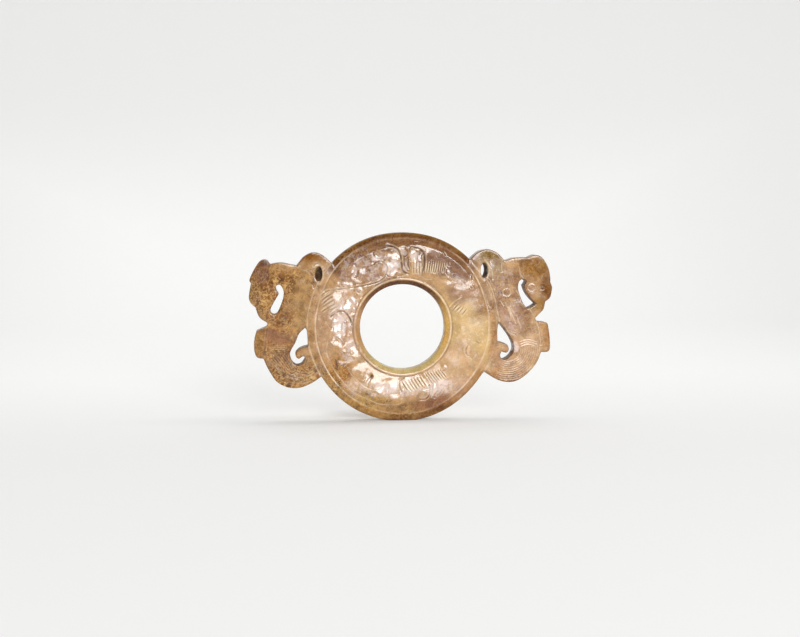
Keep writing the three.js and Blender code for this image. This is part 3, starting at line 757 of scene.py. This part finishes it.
def skin(values, origin, pitches):
    """Closed surface where the values pass zero: a vertex per mixed cell, a quad per crossing edge."""
    inside = values < 0
    counts = np.zeros(np.array(values.shape) - 1, np.uint8)
    corners = [(i, j, k) for i in (0, 1) for j in (0, 1) for k in (0, 1)]
    size = counts.shape
    for i, j, k in corners:
        counts += inside[i:i + size[0], j:j + size[1], k:k + size[2]]
    cells = np.argwhere((counts > 0) & (counts < 8))
    number = np.full(size, -1, np.int32)
    number[tuple(cells.T)] = np.arange(len(cells))
    sums = np.zeros((len(cells), 3))
    crossings = np.zeros(len(cells))
    axes = np.eye(3, dtype=int)
    for axis in range(3):
        for corner in corners:
            if corner[axis]:
                continue
            start = values[tuple((cells + corner).T)].astype(float)
            end = values[tuple((cells + corner + axes[axis]).T)].astype(float)
            crosses = (start < 0) != (end < 0)
            share = np.where(crosses, start / np.where(crosses, start - end, 1), 0)
            place = np.array(corner) + share[:, None] * axes[axis]
            sums += place * crosses[:, None]
            crossings += crosses
    vertices = origin + (cells + sums / crossings[:, None]) * pitches
    quads = []
    for axis in range(3):
        u, v = axes[(axis + 1) % 3], axes[(axis + 2) % 3]
        here = np.delete(inside, -1, axis)
        there = np.delete(inside, 0, axis)
        edges = np.argwhere(here != there)
        leaves = here[tuple(edges.T)]
        ring = [number[tuple((edges - shift).T)] for shift in (u + v, v, 0 * u, u)]
        faces = np.column_stack(ring)
        faces[~leaves] = faces[~leaves][:, ::-1]
        quads.append(faces)
    return vertices, np.vstack(quads)


def placed(name, data):
    """Object with that data in the scene."""
    made = bpy.data.objects.new(name, data)
    bpy.context.scene.collection.objects.link(made)
    return made


def mesh_object(name, vertices, quads):
    mesh = bpy.data.meshes.new(name)
    mesh.vertices.add(len(vertices))
    mesh.vertices.foreach_set("co", vertices.astype(np.float32).ravel())
    mesh.loops.add(quads.size)
    mesh.loops.foreach_set("vertex_index", quads.astype(np.int32).ravel())
    mesh.polygons.add(len(quads))
    mesh.polygons.foreach_set("loop_start", np.arange(0, quads.size, 4, dtype=np.int32))
    mesh.update(calc_edges=True)
    return placed(name, mesh)


def applied(piece, name, kind, **settings):
    """Adds a modifier to a piece and applies it."""
    modifier = piece.modifiers.new(name, kind)
    for key, value in settings.items():
        setattr(modifier, key, value)
    bpy.context.view_layer.update()
    evaluated = piece.evaluated_get(bpy.context.evaluated_depsgraph_get())
    mesh = bpy.data.meshes.new_from_object(evaluated)
    piece.modifiers.clear()
    old = piece.data
    piece.data = mesh
    bpy.data.meshes.remove(old)


def carve():
    origin = np.array([GRID_X[0], GRID_Y[0], GRID_Z[0]])
    vertices, quads = skin(stone_field(), origin, np.array([PITCH, LAYER, PITCH]))
    vertices[:, 2] += CENTRE_UP
    piece = mesh_object("jade_pendant", vertices * MM, quads)
    applied(piece, "thin_out", "DECIMATE", ratio=FACE_COUNT / (2 * len(quads)))
    piece.data.shade_smooth()
    return piece


# Colours of the stone, and of its painted shade and highlight, as sRGB
HONEY = (0.76, 0.60, 0.43)
CREAM = (0.95, 0.86, 0.73)
# Lilac white of the pale clouding, which is partly a painted highlight
CLOUD_HIGHLIGHT_WHITE = (0.96, 0.90, 0.88)
RUSSET = (0.33, 0.18, 0.07)
GOLD_VEIN = (0.86, 0.69, 0.43)
UMBER = (0.26, 0.15, 0.08)
# Painted shade in the suspension holes, along the edges and walls, and in the slots
HOLE_SHADE = (0.26, 0.16, 0.05)
EDGE_SHADE_BROWN = (0.40, 0.24, 0.11)
SLOT_WALL_SHADE = (0.52, 0.30, 0.09)
BORE_BROWN = (0.73, 0.56, 0.39)
# Painted shade at the top of the bore's wall
BORE_TOP_SHADE = (0.34, 0.17, 0.06)
BORE_GOLD = (0.88, 0.70, 0.40)
BORE_OLIVE = (0.80, 0.71, 0.48)

# The dome under the border at the top, the outermost edge of the rim, and painted shade where it stands
UNDER_BORDER = (0.50, 0.34, 0.24)
RIM_GOLD = (0.56, 0.42, 0.18)
SOLE_SHADE = (0.34, 0.18, 0.08)

# Roughness of the polished relief and of the dome under the border
POLISH = 0.13

# Tones of the ring's rim: middle direction and half spread in degrees, colour and strength
RIM_TONES = [
    (0, 200, (0.66, 0.46, 0.26), 0.6),
    (97, 82, (0.36, 0.18, 0.04), 0.92),
    (-128, 40, (0.72, 0.54, 0.30), 0.7),
    (-77, 24, (0.42, 0.23, 0.07), 0.85),
]

# Broad tints: middle and half spreads in pixels, colour, strength of the mottling, and roughness. The lilac
# and mauve tints are partly painted sheen.
TINTS_PX = [
    ((402, 326), (70, 70), (0.76, 0.60, 0.43), 0.25, 0.17),
    ((472, 322), (30, 36), (0.82, 0.68, 0.46), 0.06, 0.34),
    ((456, 366), (28, 24), (0.79, 0.63, 0.45), 0.15, 0.32),
    ((450, 390), (18, 14), (0.79, 0.65, 0.54), 0.12, 0.24),
    ((454, 262), (30, 22), (0.52, 0.37, 0.29), 0.25, 0.13),
    ((464, 291), (18, 10), (0.66, 0.51, 0.40), 0.2, 0.15),
    ((360, 268), (34, 18), (0.60, 0.45, 0.36), 0.5, 0.15),
    ((352, 254), (24, 9), (0.43, 0.27, 0.14), 0.5, 0.26),
    ((335, 267), (6, 6), (0.48, 0.33, 0.23), 0.3, 0.42),
    ((468, 264), (6, 6), (0.55, 0.40, 0.31), 0.3, 0.36),
    ((400, 244), (40, 9), (0.47, 0.31, 0.19), 0.3, 0.26),
    ((343, 322), (18, 26), (0.72, 0.56, 0.44), 0.2, 0.2),
    ((391, 249), (9, 4), (0.52, 0.37, 0.28), 0.2, 0.17),
    ((405, 262), (4.5, 9), (0.48, 0.33, 0.24), 0.2, 0.17),
    ((421.5, 257), (4, 9), (0.50, 0.35, 0.26), 0.2, 0.17),
    ((436, 256), (12, 10), (0.52, 0.37, 0.29), 0.2, 0.13),
    ((322, 325), (9, 40), (0.74, 0.58, 0.44), 0.25, 0.28),
    ((338, 376), (18, 24), (0.60, 0.38, 0.12), 0.95, 0.17),
    ((365, 402), (28, 9), (0.66, 0.51, 0.27), 0.75, 0.28),
    ((405, 409), (30, 8), (0.62, 0.46, 0.29), 0.6, 0.17),
    ((436, 403), (22, 9), (0.56, 0.37, 0.26), 0.3, 0.26),
    ((398, 385), (34, 11), (0.76, 0.62, 0.48), 0.1, 0.18),
    ((282, 290), (34, 30), (0.57, 0.37, 0.17), 1.0, 0.17),
    ((258, 274), (11, 12), (0.48, 0.31, 0.23), 0.45, 0.17),
    ((263, 262), (8, 5), (0.34, 0.20, 0.14), 0.3, 0.55),
    ((255, 296), (9, 12), (0.50, 0.33, 0.18), 0.9, 0.17),
    ((302, 296), (9, 34), (0.69, 0.53, 0.34), 0.45, 0.17),
    ((314, 256), (15, 8), (0.55, 0.33, 0.05), 0.3, 0.12),
    ((278, 345), (26, 34), (0.59, 0.38, 0.18), 0.8, 0.17),
    ((279, 338), (15, 8), (0.58, 0.39, 0.27), 0.3, 0.17),
    ((258, 345), (7, 16), (0.60, 0.42, 0.19), 0.5, 0.17),
    ((290, 378), (30, 12), (0.55, 0.33, 0.06), 1.0, 0.12),
    ((314, 363), (9, 12), (0.66, 0.48, 0.28), 0.6, 0.17),
    ((510, 300), (34, 30), (0.60, 0.44, 0.33), 0.5, 0.15),
    ((487, 253), (17, 8), (0.50, 0.37, 0.10), 0.2, 0.12),
    ((496, 268), (10, 9), (0.66, 0.55, 0.43), 0.3, 0.2),
    ((535, 266), (16, 14), (0.55, 0.36, 0.11), 0.4, 0.13),
    ((548, 288), (7, 14), (0.48, 0.28, 0.05), 0.3, 0.12),
    ((530, 290), (8, 12), (0.64, 0.48, 0.34), 0.3, 0.17),
    ((540, 306), (8, 7), (0.60, 0.43, 0.19), 0.2, 0.17),
    ((509, 322), (13, 18), (0.70, 0.55, 0.46), 0.4, 0.17),
    ((516, 356), (24, 20), (0.73, 0.56, 0.42), 0.35, 0.22),
    ((508, 377), (26, 10), (0.58, 0.35, 0.12), 0.7, 0.3),
    ((547, 336), (7, 16), (0.70, 0.51, 0.31), 0.35, 0.17),
    ((493, 335), (4, 18), (0.70, 0.51, 0.33), 0.3, 0.26),
]


def linear(colour):
    """Light of an sRGB colour."""
    colour = np.asarray(colour, float)
    return np.where(colour <= 0.04045, colour / 12.92, ((colour + 0.055) / 1.055) ** 2.4)


class Stain:
    """Colour, mottling and roughness over the grid, the same right through the stone. It includes painted
    shade at the edges and pale clouding that is partly a painted highlight.
    """

    def __init__(self):
        shape = ring_edge.shape
        self.tone = np.broadcast_to(linear(HONEY), (*shape, 3)).copy()
        self.mottle = np.full(shape, 0.3)
        self.rough = np.full(shape, 0.25)
        self.clouding_and_highlight = np.zeros(shape)
        self.wander = (bumps(5.0, 71), bumps(5.0, 72))
        for middle, spreads, colour, mottle, rough in TINTS_PX:
            share = self.patch(middle, spreads, 0.35, 1.4)
            self.lay(linear(colour), share)
            self.mottle += share * (mottle - self.mottle)
            self.rough += share * (rough - self.rough)
        # Pale clouding, partly a painted highlight on the relief
        for middle, spreads, strength in CLOUDED_AND_HIGHLIT_PX:
            lift(self.clouding_and_highlight, strength * self.patch(middle, spreads, 0.3, 1.3))
        self.paint_rim()

    def patch(self, middle, spreads, sway, end):
        """1 in the middle of an ellipse given in pixels and 0 outside it, with a wandering edge."""
        corners = on_stone([middle, np.add(middle, spreads)], CREATURE_HALF)
        half = np.abs(corners[1] - corners[0])
        across = (x_grid - corners[0, 0]) / half[0] + sway * self.wander[0]
        upward = (z_grid - corners[0, 1]) / half[1] + sway * self.wander[1]
        return 1 - ramp(np.hypot(across, upward), 0.5, end)

    def lay(self, colour, share):
        self.tone += share[..., None] * (colour - self.tone)

    def paint_rim(self):
        """The edge is darker all round with painted shade, and the ring's free rim darkest at the top and
        at the foot, with painted shade where it stands.
        """
        shaded = 1 - ramp(-edge, 0.0, 0.9)
        self.lay(linear(EDGE_SHADE_BROWN), 0.5 * shaded * (radius_grid > BORE_RADIUS + 4))
        free = ramp(creature_edge, -0.6, 1.6)
        band = ramp(evened_radius - border_radius + 0.2 * bumps(1.4, 74), -0.2, 0.4) * free
        under = ramp(evened_radius + 0.5 * bumps(3.0, 75), 23.2, 25.0) * ramp(z_grid, 8, 16)
        self.lay(linear(UNDER_BORDER), 0.85 * under * free)
        self.rough += under * (POLISH - self.rough)
        self.rough += band * (0.2 - self.rough)
        self.mottle *= 1 - 0.3 * band * ramp(z_grid, 0, 15)
        self.clouding_and_highlight *= 1 - 0.8 * band * ramp(z_grid, 0, 15)
        for middle, spread, colour, share in RIM_TONES:
            apart = np.abs((np.degrees(angle_grid) - middle + 180) % 360 - 180) + 5 * bumps(2.4, 73)
            self.lay(linear(colour), band * share * (1 - ramp(apart, 0.6 * spread, spread)))
        outermost = ramp(evened_radius + 0.3 * bumps(2.0, 76), 27.1, 27.9)
        self.lay(linear(RIM_GOLD), 0.5 * free * outermost)
        # Painted shade along the sole, where the ring stands on the floor
        self.lay(linear(SOLE_SHADE), 0.85 * (1 - ramp(z_grid + CENTRE_UP, 0.2, 0.9)))


def sampled(field, places):
    """Values of a grid field at vertex places [x, z], by blending the four nearest."""
    u = (places[:, 0] - GRID_X[0]) / PITCH
    w = (places[:, 1] - GRID_Z[0]) / PITCH
    i = np.clip(np.floor(u).astype(int), 0, GRID_X.size - 2)
    k = np.clip(np.floor(w).astype(int), 0, GRID_Z.size - 2)
    du, dw = u - i, w - k
    if field.ndim == 3:
        du, dw = du[:, None], dw[:, None]
    low = field[i, k] * (1 - du) + field[i + 1, k] * du
    high = field[i, k + 1] * (1 - du) + field[i + 1, k + 1] * du
    return low * (1 - dw) + high * dw


def paint(piece):
    """Writes the stains of the stone and of its lines to the mesh, painted shade and highlights among them,
    for the material to read.
    """
    mesh = piece.data
    co = np.empty(len(mesh.vertices) * 3, np.float32)
    mesh.vertices.foreach_get("co", co)
    co = co.reshape(-1, 3) / MM
    places = np.column_stack([co[:, 0], co[:, 2] - CENTRE_UP])
    on_front = co[:, 1] < 0
    stain = Stain()
    tone = sampled(stain.tone, places)

    def of_face(fields):
        """Values of the front's or the back's field, whichever face the vertex is nearer to."""
        return np.where(on_front, *(sampled(field, places) for field in fields))

    def lay(colour, share):
        nonlocal tone
        tone = tone + share[:, None] * (linear(colour) - tone)

    # Walls, painted with shade: brown in the slots, darker on the other walls, dark in the holes, and in
    # the bore darkest at the top, where it faces down, and olive at the foot
    sunk = of_face([front.heights(), back.heights()]) - np.abs(co[:, 1])
    inner = ramp(sunk, 0.25, 0.7)
    facing = 1 - inner
    radius = np.hypot(*places.T)
    bore = 1 - ramp(radius, 13.65, 13.95)
    slots = ramp(sampled(slot_edge, places), -0.5, -0.2)
    lay(BORE_BROWN, bore)
    lay(BORE_GOLD, bore * ramp(places[:, 0] / radius, 0.1, 0.8))
    lay(BORE_OLIVE, bore * ramp(-places[:, 1] / radius, 0.2, 0.9))
    lay(BORE_TOP_SHADE, bore * ramp(places[:, 1] / radius, 0.1, 0.85))
    lay(SLOT_WALL_SHADE, slots * inner * 0.95)
    lay(EDGE_SHADE_BROWN, inner * (1 - bore) * (1 - slots) * 0.5)
    holes = np.zeros(len(co))
    for centre_px, drift in HOLES:
        near = hole_distance(centre_px, drift, places[:, 0], co[:, 1], places[:, 1])
        lift(holes, (1 - ramp(near, 0.08, 0.25)) * ramp(sunk, 0.1, 0.35))
        lay(CREAM, 0.5 * bell(near - 0.4, 0.15) * facing)
    lay(HOLE_SHADE, holes)

    # Polished patches and mounds are smoother, and carry a painted highlight into the clouding
    polished_and_highlit = of_face([front.polish_and_highlight, back.polish_and_highlight]) * facing
    rough = sampled(stain.rough, places)
    rough += 0.75 * polished_and_highlit * (POLISH - rough)
    fields = {
        "pale": of_face([front.pale, back.pale]) * facing,
        "dark": of_face([front.dark, back.dark]) * facing,
        "mottle": sampled(stain.mottle, places) * (1 - 0.5 * bore),
        "clouding_and_highlight": np.maximum(0.55 * polished_and_highlit, sampled(stain.clouding_and_highlight, places) * facing * (1 - bore)),
        "rough": np.maximum(rough, (0.3 * bore + 0.75 * (slots + holes)) * inner),
    }
    for name, values in fields.items():
        attribute = mesh.attributes.new(name, "FLOAT", "POINT")
        attribute.data.foreach_set("value", np.asarray(values, np.float32))
    attribute = mesh.attributes.new("tone", "FLOAT_COLOR", "POINT")
    opaque = np.column_stack([tone, np.ones(len(tone))])
    attribute.data.foreach_set("color", opaque.astype(np.float32).ravel())


class Nodes:
    """Short hand for building a material's nodes."""

    def __init__(self, name):
        self.material = bpy.data.materials.new(name)
        self.material.use_nodes = True
        self.tree = self.material.node_tree
        self.tree.nodes.clear()

    def add(self, kind, inputs, **settings):
        node = self.tree.nodes.new("ShaderNode" + kind)
        for key, value in settings.items():
            setattr(node, key, value)
        for key, value in inputs.items():
            if isinstance(value, bpy.types.NodeSocket):
                self.tree.links.new(value, node.inputs[key])
            else:
                node.inputs[key].default_value = value
        return node

    def surface(self, shader):
        """Ends the material in that shader."""
        self.add("OutputMaterial", {"Surface": shader.outputs[0]})
        return self.material

    def place(self):
        return self.add("TexCoord", {}).outputs["Object"]

    def attribute(self, name, output="Fac"):
        return self.add("Attribute", {}, attribute_name=name).outputs[output]

    def maths(self, operation, first, second=0.0):
        return self.add("Math", {0: first, 1: second}, operation=operation).outputs[0]

    def times(self, first, *others):
        for other in others:
            first = self.maths("MULTIPLY", first, other)
        return first

    def less(self, value):
        """One less the value."""
        return self.maths("SUBTRACT", 1.0, value)

    def ramp(self, value, low, high):
        """0 below low, 1 above high, smooth between."""
        node = self.add("MapRange", {0: value, 1: low, 2: high}, interpolation_type="SMOOTHSTEP")
        return node.outputs[0]

    def mix(self, share, first, second):
        return self.add("Mix", {0: share, 6: first, 7: second}, data_type="RGBA").outputs[2]

    def noise(self, place, per_mm, detail, rough):
        inputs = {"Vector": place, "Scale": per_mm / MM, "Detail": detail, "Roughness": rough}
        return self.add("TexNoise", inputs).outputs["Fac"]

    def patches(self, place, per_mm, detail, rough, low, high):
        """Patches of noise, which begin at its low level and are full at its high one."""
        return self.ramp(self.noise(place, per_mm, detail, rough), low, high)


def rgba(colour):
    return (*linear(colour), 1.0)


def bent_place(n, place):
    """Places that wander off by up to a millimetre or so, so that veins and blotches bend."""
    sway = n.add("TexNoise", {"Vector": place, "Scale": 0.45 / MM, "Detail": 3.0})
    away = n.add("VectorMath", {0: sway.outputs["Color"], 1: (0.5, 0.5, 0.5)}, operation="SUBTRACT")
    pull = n.add("VectorMath", {0: away.outputs[0], "Scale": 2.4 * MM}, operation="SCALE")
    return n.add("VectorMath", {0: place, 1: pull.outputs[0]}, operation="ADD").outputs[0]


def jade():
    """Polished nephrite: the painted tone, broken by russet mottles, a golden net, flecks and grain."""
    n = Nodes("jade")
    place = n.place()
    bent = bent_place(n, place)
    mottle = n.attribute("mottle")
    clouding_and_highlight = n.attribute("clouding_and_highlight")

    # The tone, with a slow drift of its depth, and how pale the stone is here
    drift = n.maths("ADD", 0.8, n.times(n.patches(place, 0.3, 4, 0.6, 0.3, 0.7), 0.24))
    tone = n.attribute("tone", "Color")
    colour = n.add("HueSaturation", {"Saturation": 1.07, "Value": drift, "Color": tone}).outputs[0]
    light = n.ramp(n.add("RGBToBW", {0: colour}).outputs[0], 0.08, 0.45)

    # Russet blotches, and golden clouds and veins between them
    blotch = n.patches(bent, 0.42, 7, 0.66, 0.47, 0.57)
    small = n.patches(bent, 1.1, 5, 0.63, 0.53, 0.68)
    russet = n.times(n.maths("MAXIMUM", blotch, n.times(small, 0.7)), mottle, 0.84)
    ridge = n.maths("ABSOLUTE", n.maths("SUBTRACT", n.noise(bent, 0.5, 6, 0.66), 0.5))
    cell = n.add("TexVoronoi", {"Vector": bent, "Scale": 0.62 / MM}, feature="DISTANCE_TO_EDGE")
    crackle = n.less(n.ramp(cell.outputs["Distance"], 0.01, 0.13))
    crackle = n.times(crackle, n.patches(place, 0.3, 3, 0.6, 0.42, 0.58), 0.8)
    veins = n.maths("MAXIMUM", n.less(n.ramp(ridge, 0.004, 0.03)), crackle)
    cloud = n.patches(bent, 0.36, 7, 0.68, 0.53, 0.66)
    gold = n.times(n.maths("MAXIMUM", n.times(veins, 0.7), cloud), mottle)

    # Pale flecks, a fine grain and dark pores all over, and the pale clouding of the polished relief, which
    # is partly a painted highlight
    fleck = n.times(n.patches(bent, 1.0, 6, 0.7, 0.52, 0.66), n.maths("ADD", 0.03, n.times(light, 0.42)))
    grain = n.times(n.patches(place, 3.4, 3, 0.7, 0.4, 0.7), light, 0.12)
    pores = n.times(n.patches(place, 2.1, 5, 0.7, 0.55, 0.72), 0.3)
    lifted = n.maths("ADD", n.noise(bent, 0.55, 8, 0.76), n.times(clouding_and_highlight, 0.2))
    clouding_and_highlight_share = n.times(n.ramp(lifted, 0.52, 0.67), clouding_and_highlight, 0.8)

    # Pale filling and painted highlights along the engraved lines, and painted shade in the lines and
    # hollows, lie over all of these
    pale_fill_and_highlight = n.times(n.attribute("pale"), 0.85)
    painted_cut_shade = n.times(n.attribute("dark"), 0.8)
    for share, over in (
        (russet, RUSSET), (gold, GOLD_VEIN), (fleck, CREAM), (grain, CREAM), (pores, UMBER), (clouding_and_highlight_share, CLOUD_HIGHLIGHT_WHITE),
        (pale_fill_and_highlight, CREAM), (painted_cut_shade, UMBER),
    ):
        colour = n.mix(share, colour, rgba(over))

    worn = n.maths("SUBTRACT", n.noise(place, 1.1, 4, 0.65), 0.5)
    dimples = n.noise(place, 1.6, 5, 0.65)
    skin_bump = n.add("Bump", {"Strength": 0.5, "Distance": 0.03 * MM, "Height": dimples})
    return n.surface(n.add("BsdfPrincipled", {
        "Base Color": colour,
        "Roughness": n.maths("ADD", n.attribute("rough"), n.times(worn, 0.3)),
        "IOR": 1.61,
        "Subsurface Weight": 0.2,
        "Subsurface Radius": (1.0, 0.55, 0.25),
        "Subsurface Scale": 1.2 * MM,
        "Normal": skin_bump.outputs[0],
    }))


# Studio: a pale sheet that runs up behind, a broad soft lamp beside the camera and one overhead
SHEET_WHITE = (0.94, 0.94, 0.935)
SHEET_HALF_WIDTH = 900
SHEET_FRONT = -290
SHEET_BEND = 320
SHEET_BEND_RADIUS = 220
SHEET_TOP = 900
ROOM_LEVEL = 0.2

# Lamps: place, width and height in mm, and radiance
LAMPS = {
    "beside_camera": ((167, -820, 268), 400, 400, 12.5),
    "overhead": ((-20, 240, 950), 1500, 520, 2.0),
}

# Glow of the sheet, as the camera sees it: its share, its strength far off, and what is added nearby
FLOOR_GLOW = 0.5
GLOW_FAR = 1.09
GLOW_NEAR = 0.24

# Where nearby ends to the sides and upwards, and where it begins towards the back
NEAR_ASIDE = (60 * MM, 330 * MM)
NEAR_UPWARD = (10 * MM, 150 * MM)
NEAR_BEHIND = (-60 * MM, 120 * MM)

# Where the floor's glow gives way to the shadow at the foot: middle and half spreads in mm, and how much
FOOT_SHADE = [
    ((-22, 2), (62, 11), 0.28),
    ((-14, 9), (12, 12), 0.32),
]


def sheet():
    bend = [(SHEET_BEND + SHEET_BEND_RADIUS * math.sin(turn), SHEET_BEND_RADIUS * (1 - math.cos(turn)))
            for turn in np.linspace(0, math.pi / 2, 24)]
    profile = [(SHEET_FRONT, 0), *bend, (SHEET_BEND + SHEET_BEND_RADIUS, SHEET_TOP)]
    vertices = [(side * SHEET_HALF_WIDTH * MM, y * MM, z * MM) for side in (-1, 1) for y, z in profile]
    count = len(profile)
    faces = [(k, count + k, count + k + 1, k + 1) for k in range(count - 1)]
    mesh = bpy.data.meshes.new("studio_sheet")
    mesh.from_pydata(vertices, [], faces)
    mesh.shade_smooth()
    mesh.materials.append(paper())
    made = placed("studio_sheet", mesh)


def paper():
    """White paper that also glows where the camera sees it: more nearby, and less in the shadow."""
    n = Nodes("studio_sheet")
    rays = n.add("LightPath", {}).outputs
    place = n.add("SeparateXYZ", {0: n.place()}).outputs
    aside = n.ramp(n.maths("ABSOLUTE", place["X"]), *NEAR_ASIDE)
    upward = n.ramp(place["Z"], *NEAR_UPWARD)
    near = n.times(n.less(n.maths("MAXIMUM", aside, upward)), n.ramp(place["Y"], *NEAR_BEHIND))
    share = FLOOR_GLOW
    for (x, y), (wide, deep), strength in FOOT_SHADE:
        across = n.maths("DIVIDE", n.maths("SUBTRACT", place["X"], x * MM), wide * MM)
        along = n.maths("DIVIDE", n.maths("SUBTRACT", place["Y"], y * MM), deep * MM)
        apart = n.maths("SQRT", n.maths("ADD", n.times(across, across), n.times(along, along)))
        share = n.maths("SUBTRACT", share, n.times(n.less(n.ramp(apart, 0.2, 1.2)), strength))
    seen = n.maths("MAXIMUM", rays["Is Camera Ray"], rays["Is Transmission Ray"])
    white = rgba(SHEET_WHITE)
    matt = n.add("BsdfDiffuse", {"Color": white})
    strength = n.maths("ADD", GLOW_FAR, n.times(near, GLOW_NEAR))
    glow = n.add("Emission", {"Color": white, "Strength": strength})
    return n.surface(n.add("MixShader", {0: n.times(seen, share), 1: matt.outputs[0], 2: glow.outputs[0]}))


def lamp(name, place, aim, width, height, radiance):
    """Soft rectangular lamp, with its place in mm. Its power follows from how bright its face is."""
    light = bpy.data.lights.new(name, "AREA")
    light.shape = "RECTANGLE"
    light.size = width * MM
    light.size_y = height * MM
    light.energy = radiance * math.pi * light.size * light.size_y
    made = placed(name, light)
    made.location = Vector(place) * MM
    made.rotation_euler = (Vector(aim) - Vector(place)).to_track_quat("-Z", "Y").to_euler()


def studio():
    for name, (place, width, height, radiance) in LAMPS.items():
        lamp(name, place, (0, 0, CENTRE_UP), width, height, radiance)
    world = bpy.data.worlds.new("studio")
    world.use_nodes = True
    nodes, links = world.node_tree.nodes, world.node_tree.links
    nodes["Background"].inputs["Color"].default_value = rgba(SHEET_WHITE)
    rays = nodes.new("ShaderNodeLightPath")
    seen = nodes.new("ShaderNodeMapRange")
    seen.inputs["To Min"].default_value = ROOM_LEVEL
    links.new(rays.outputs["Is Camera Ray"], seen.inputs["Value"])
    links.new(seen.outputs[0], nodes["Background"].inputs["Strength"])
    bpy.context.scene.world = world
    bpy.context.scene.view_settings.view_transform = "Standard"


def camera():
    data = bpy.data.cameras.new("photo_camera")
    data.sensor_width = SENSOR_WIDTH
    data.lens = FOCAL_PX / PHOTO_WIDTH * SENSOR_WIDTH
    data.shift_x = (PHOTO_WIDTH / 2 - RING_CENTRE_PX[0]) / PHOTO_WIDTH
    data.shift_y = (RING_CENTRE_PX[1] - PHOTO_HEIGHT / 2) / PHOTO_WIDTH
    data.clip_start = 10 * MM
    made = placed("photo_camera", data)
    made.location = Vector(EYE + (0, 0, CENTRE_UP)) * MM
    made.rotation_euler = Vector(LOOK).to_track_quat("-Z", "Y").to_euler()
    bpy.context.scene.camera = made


camera()
studio()
sheet()
pendant = carve()
paint(pendant)
pendant.data.materials.append(jade())
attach(pendant, "root")
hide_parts(NODE)
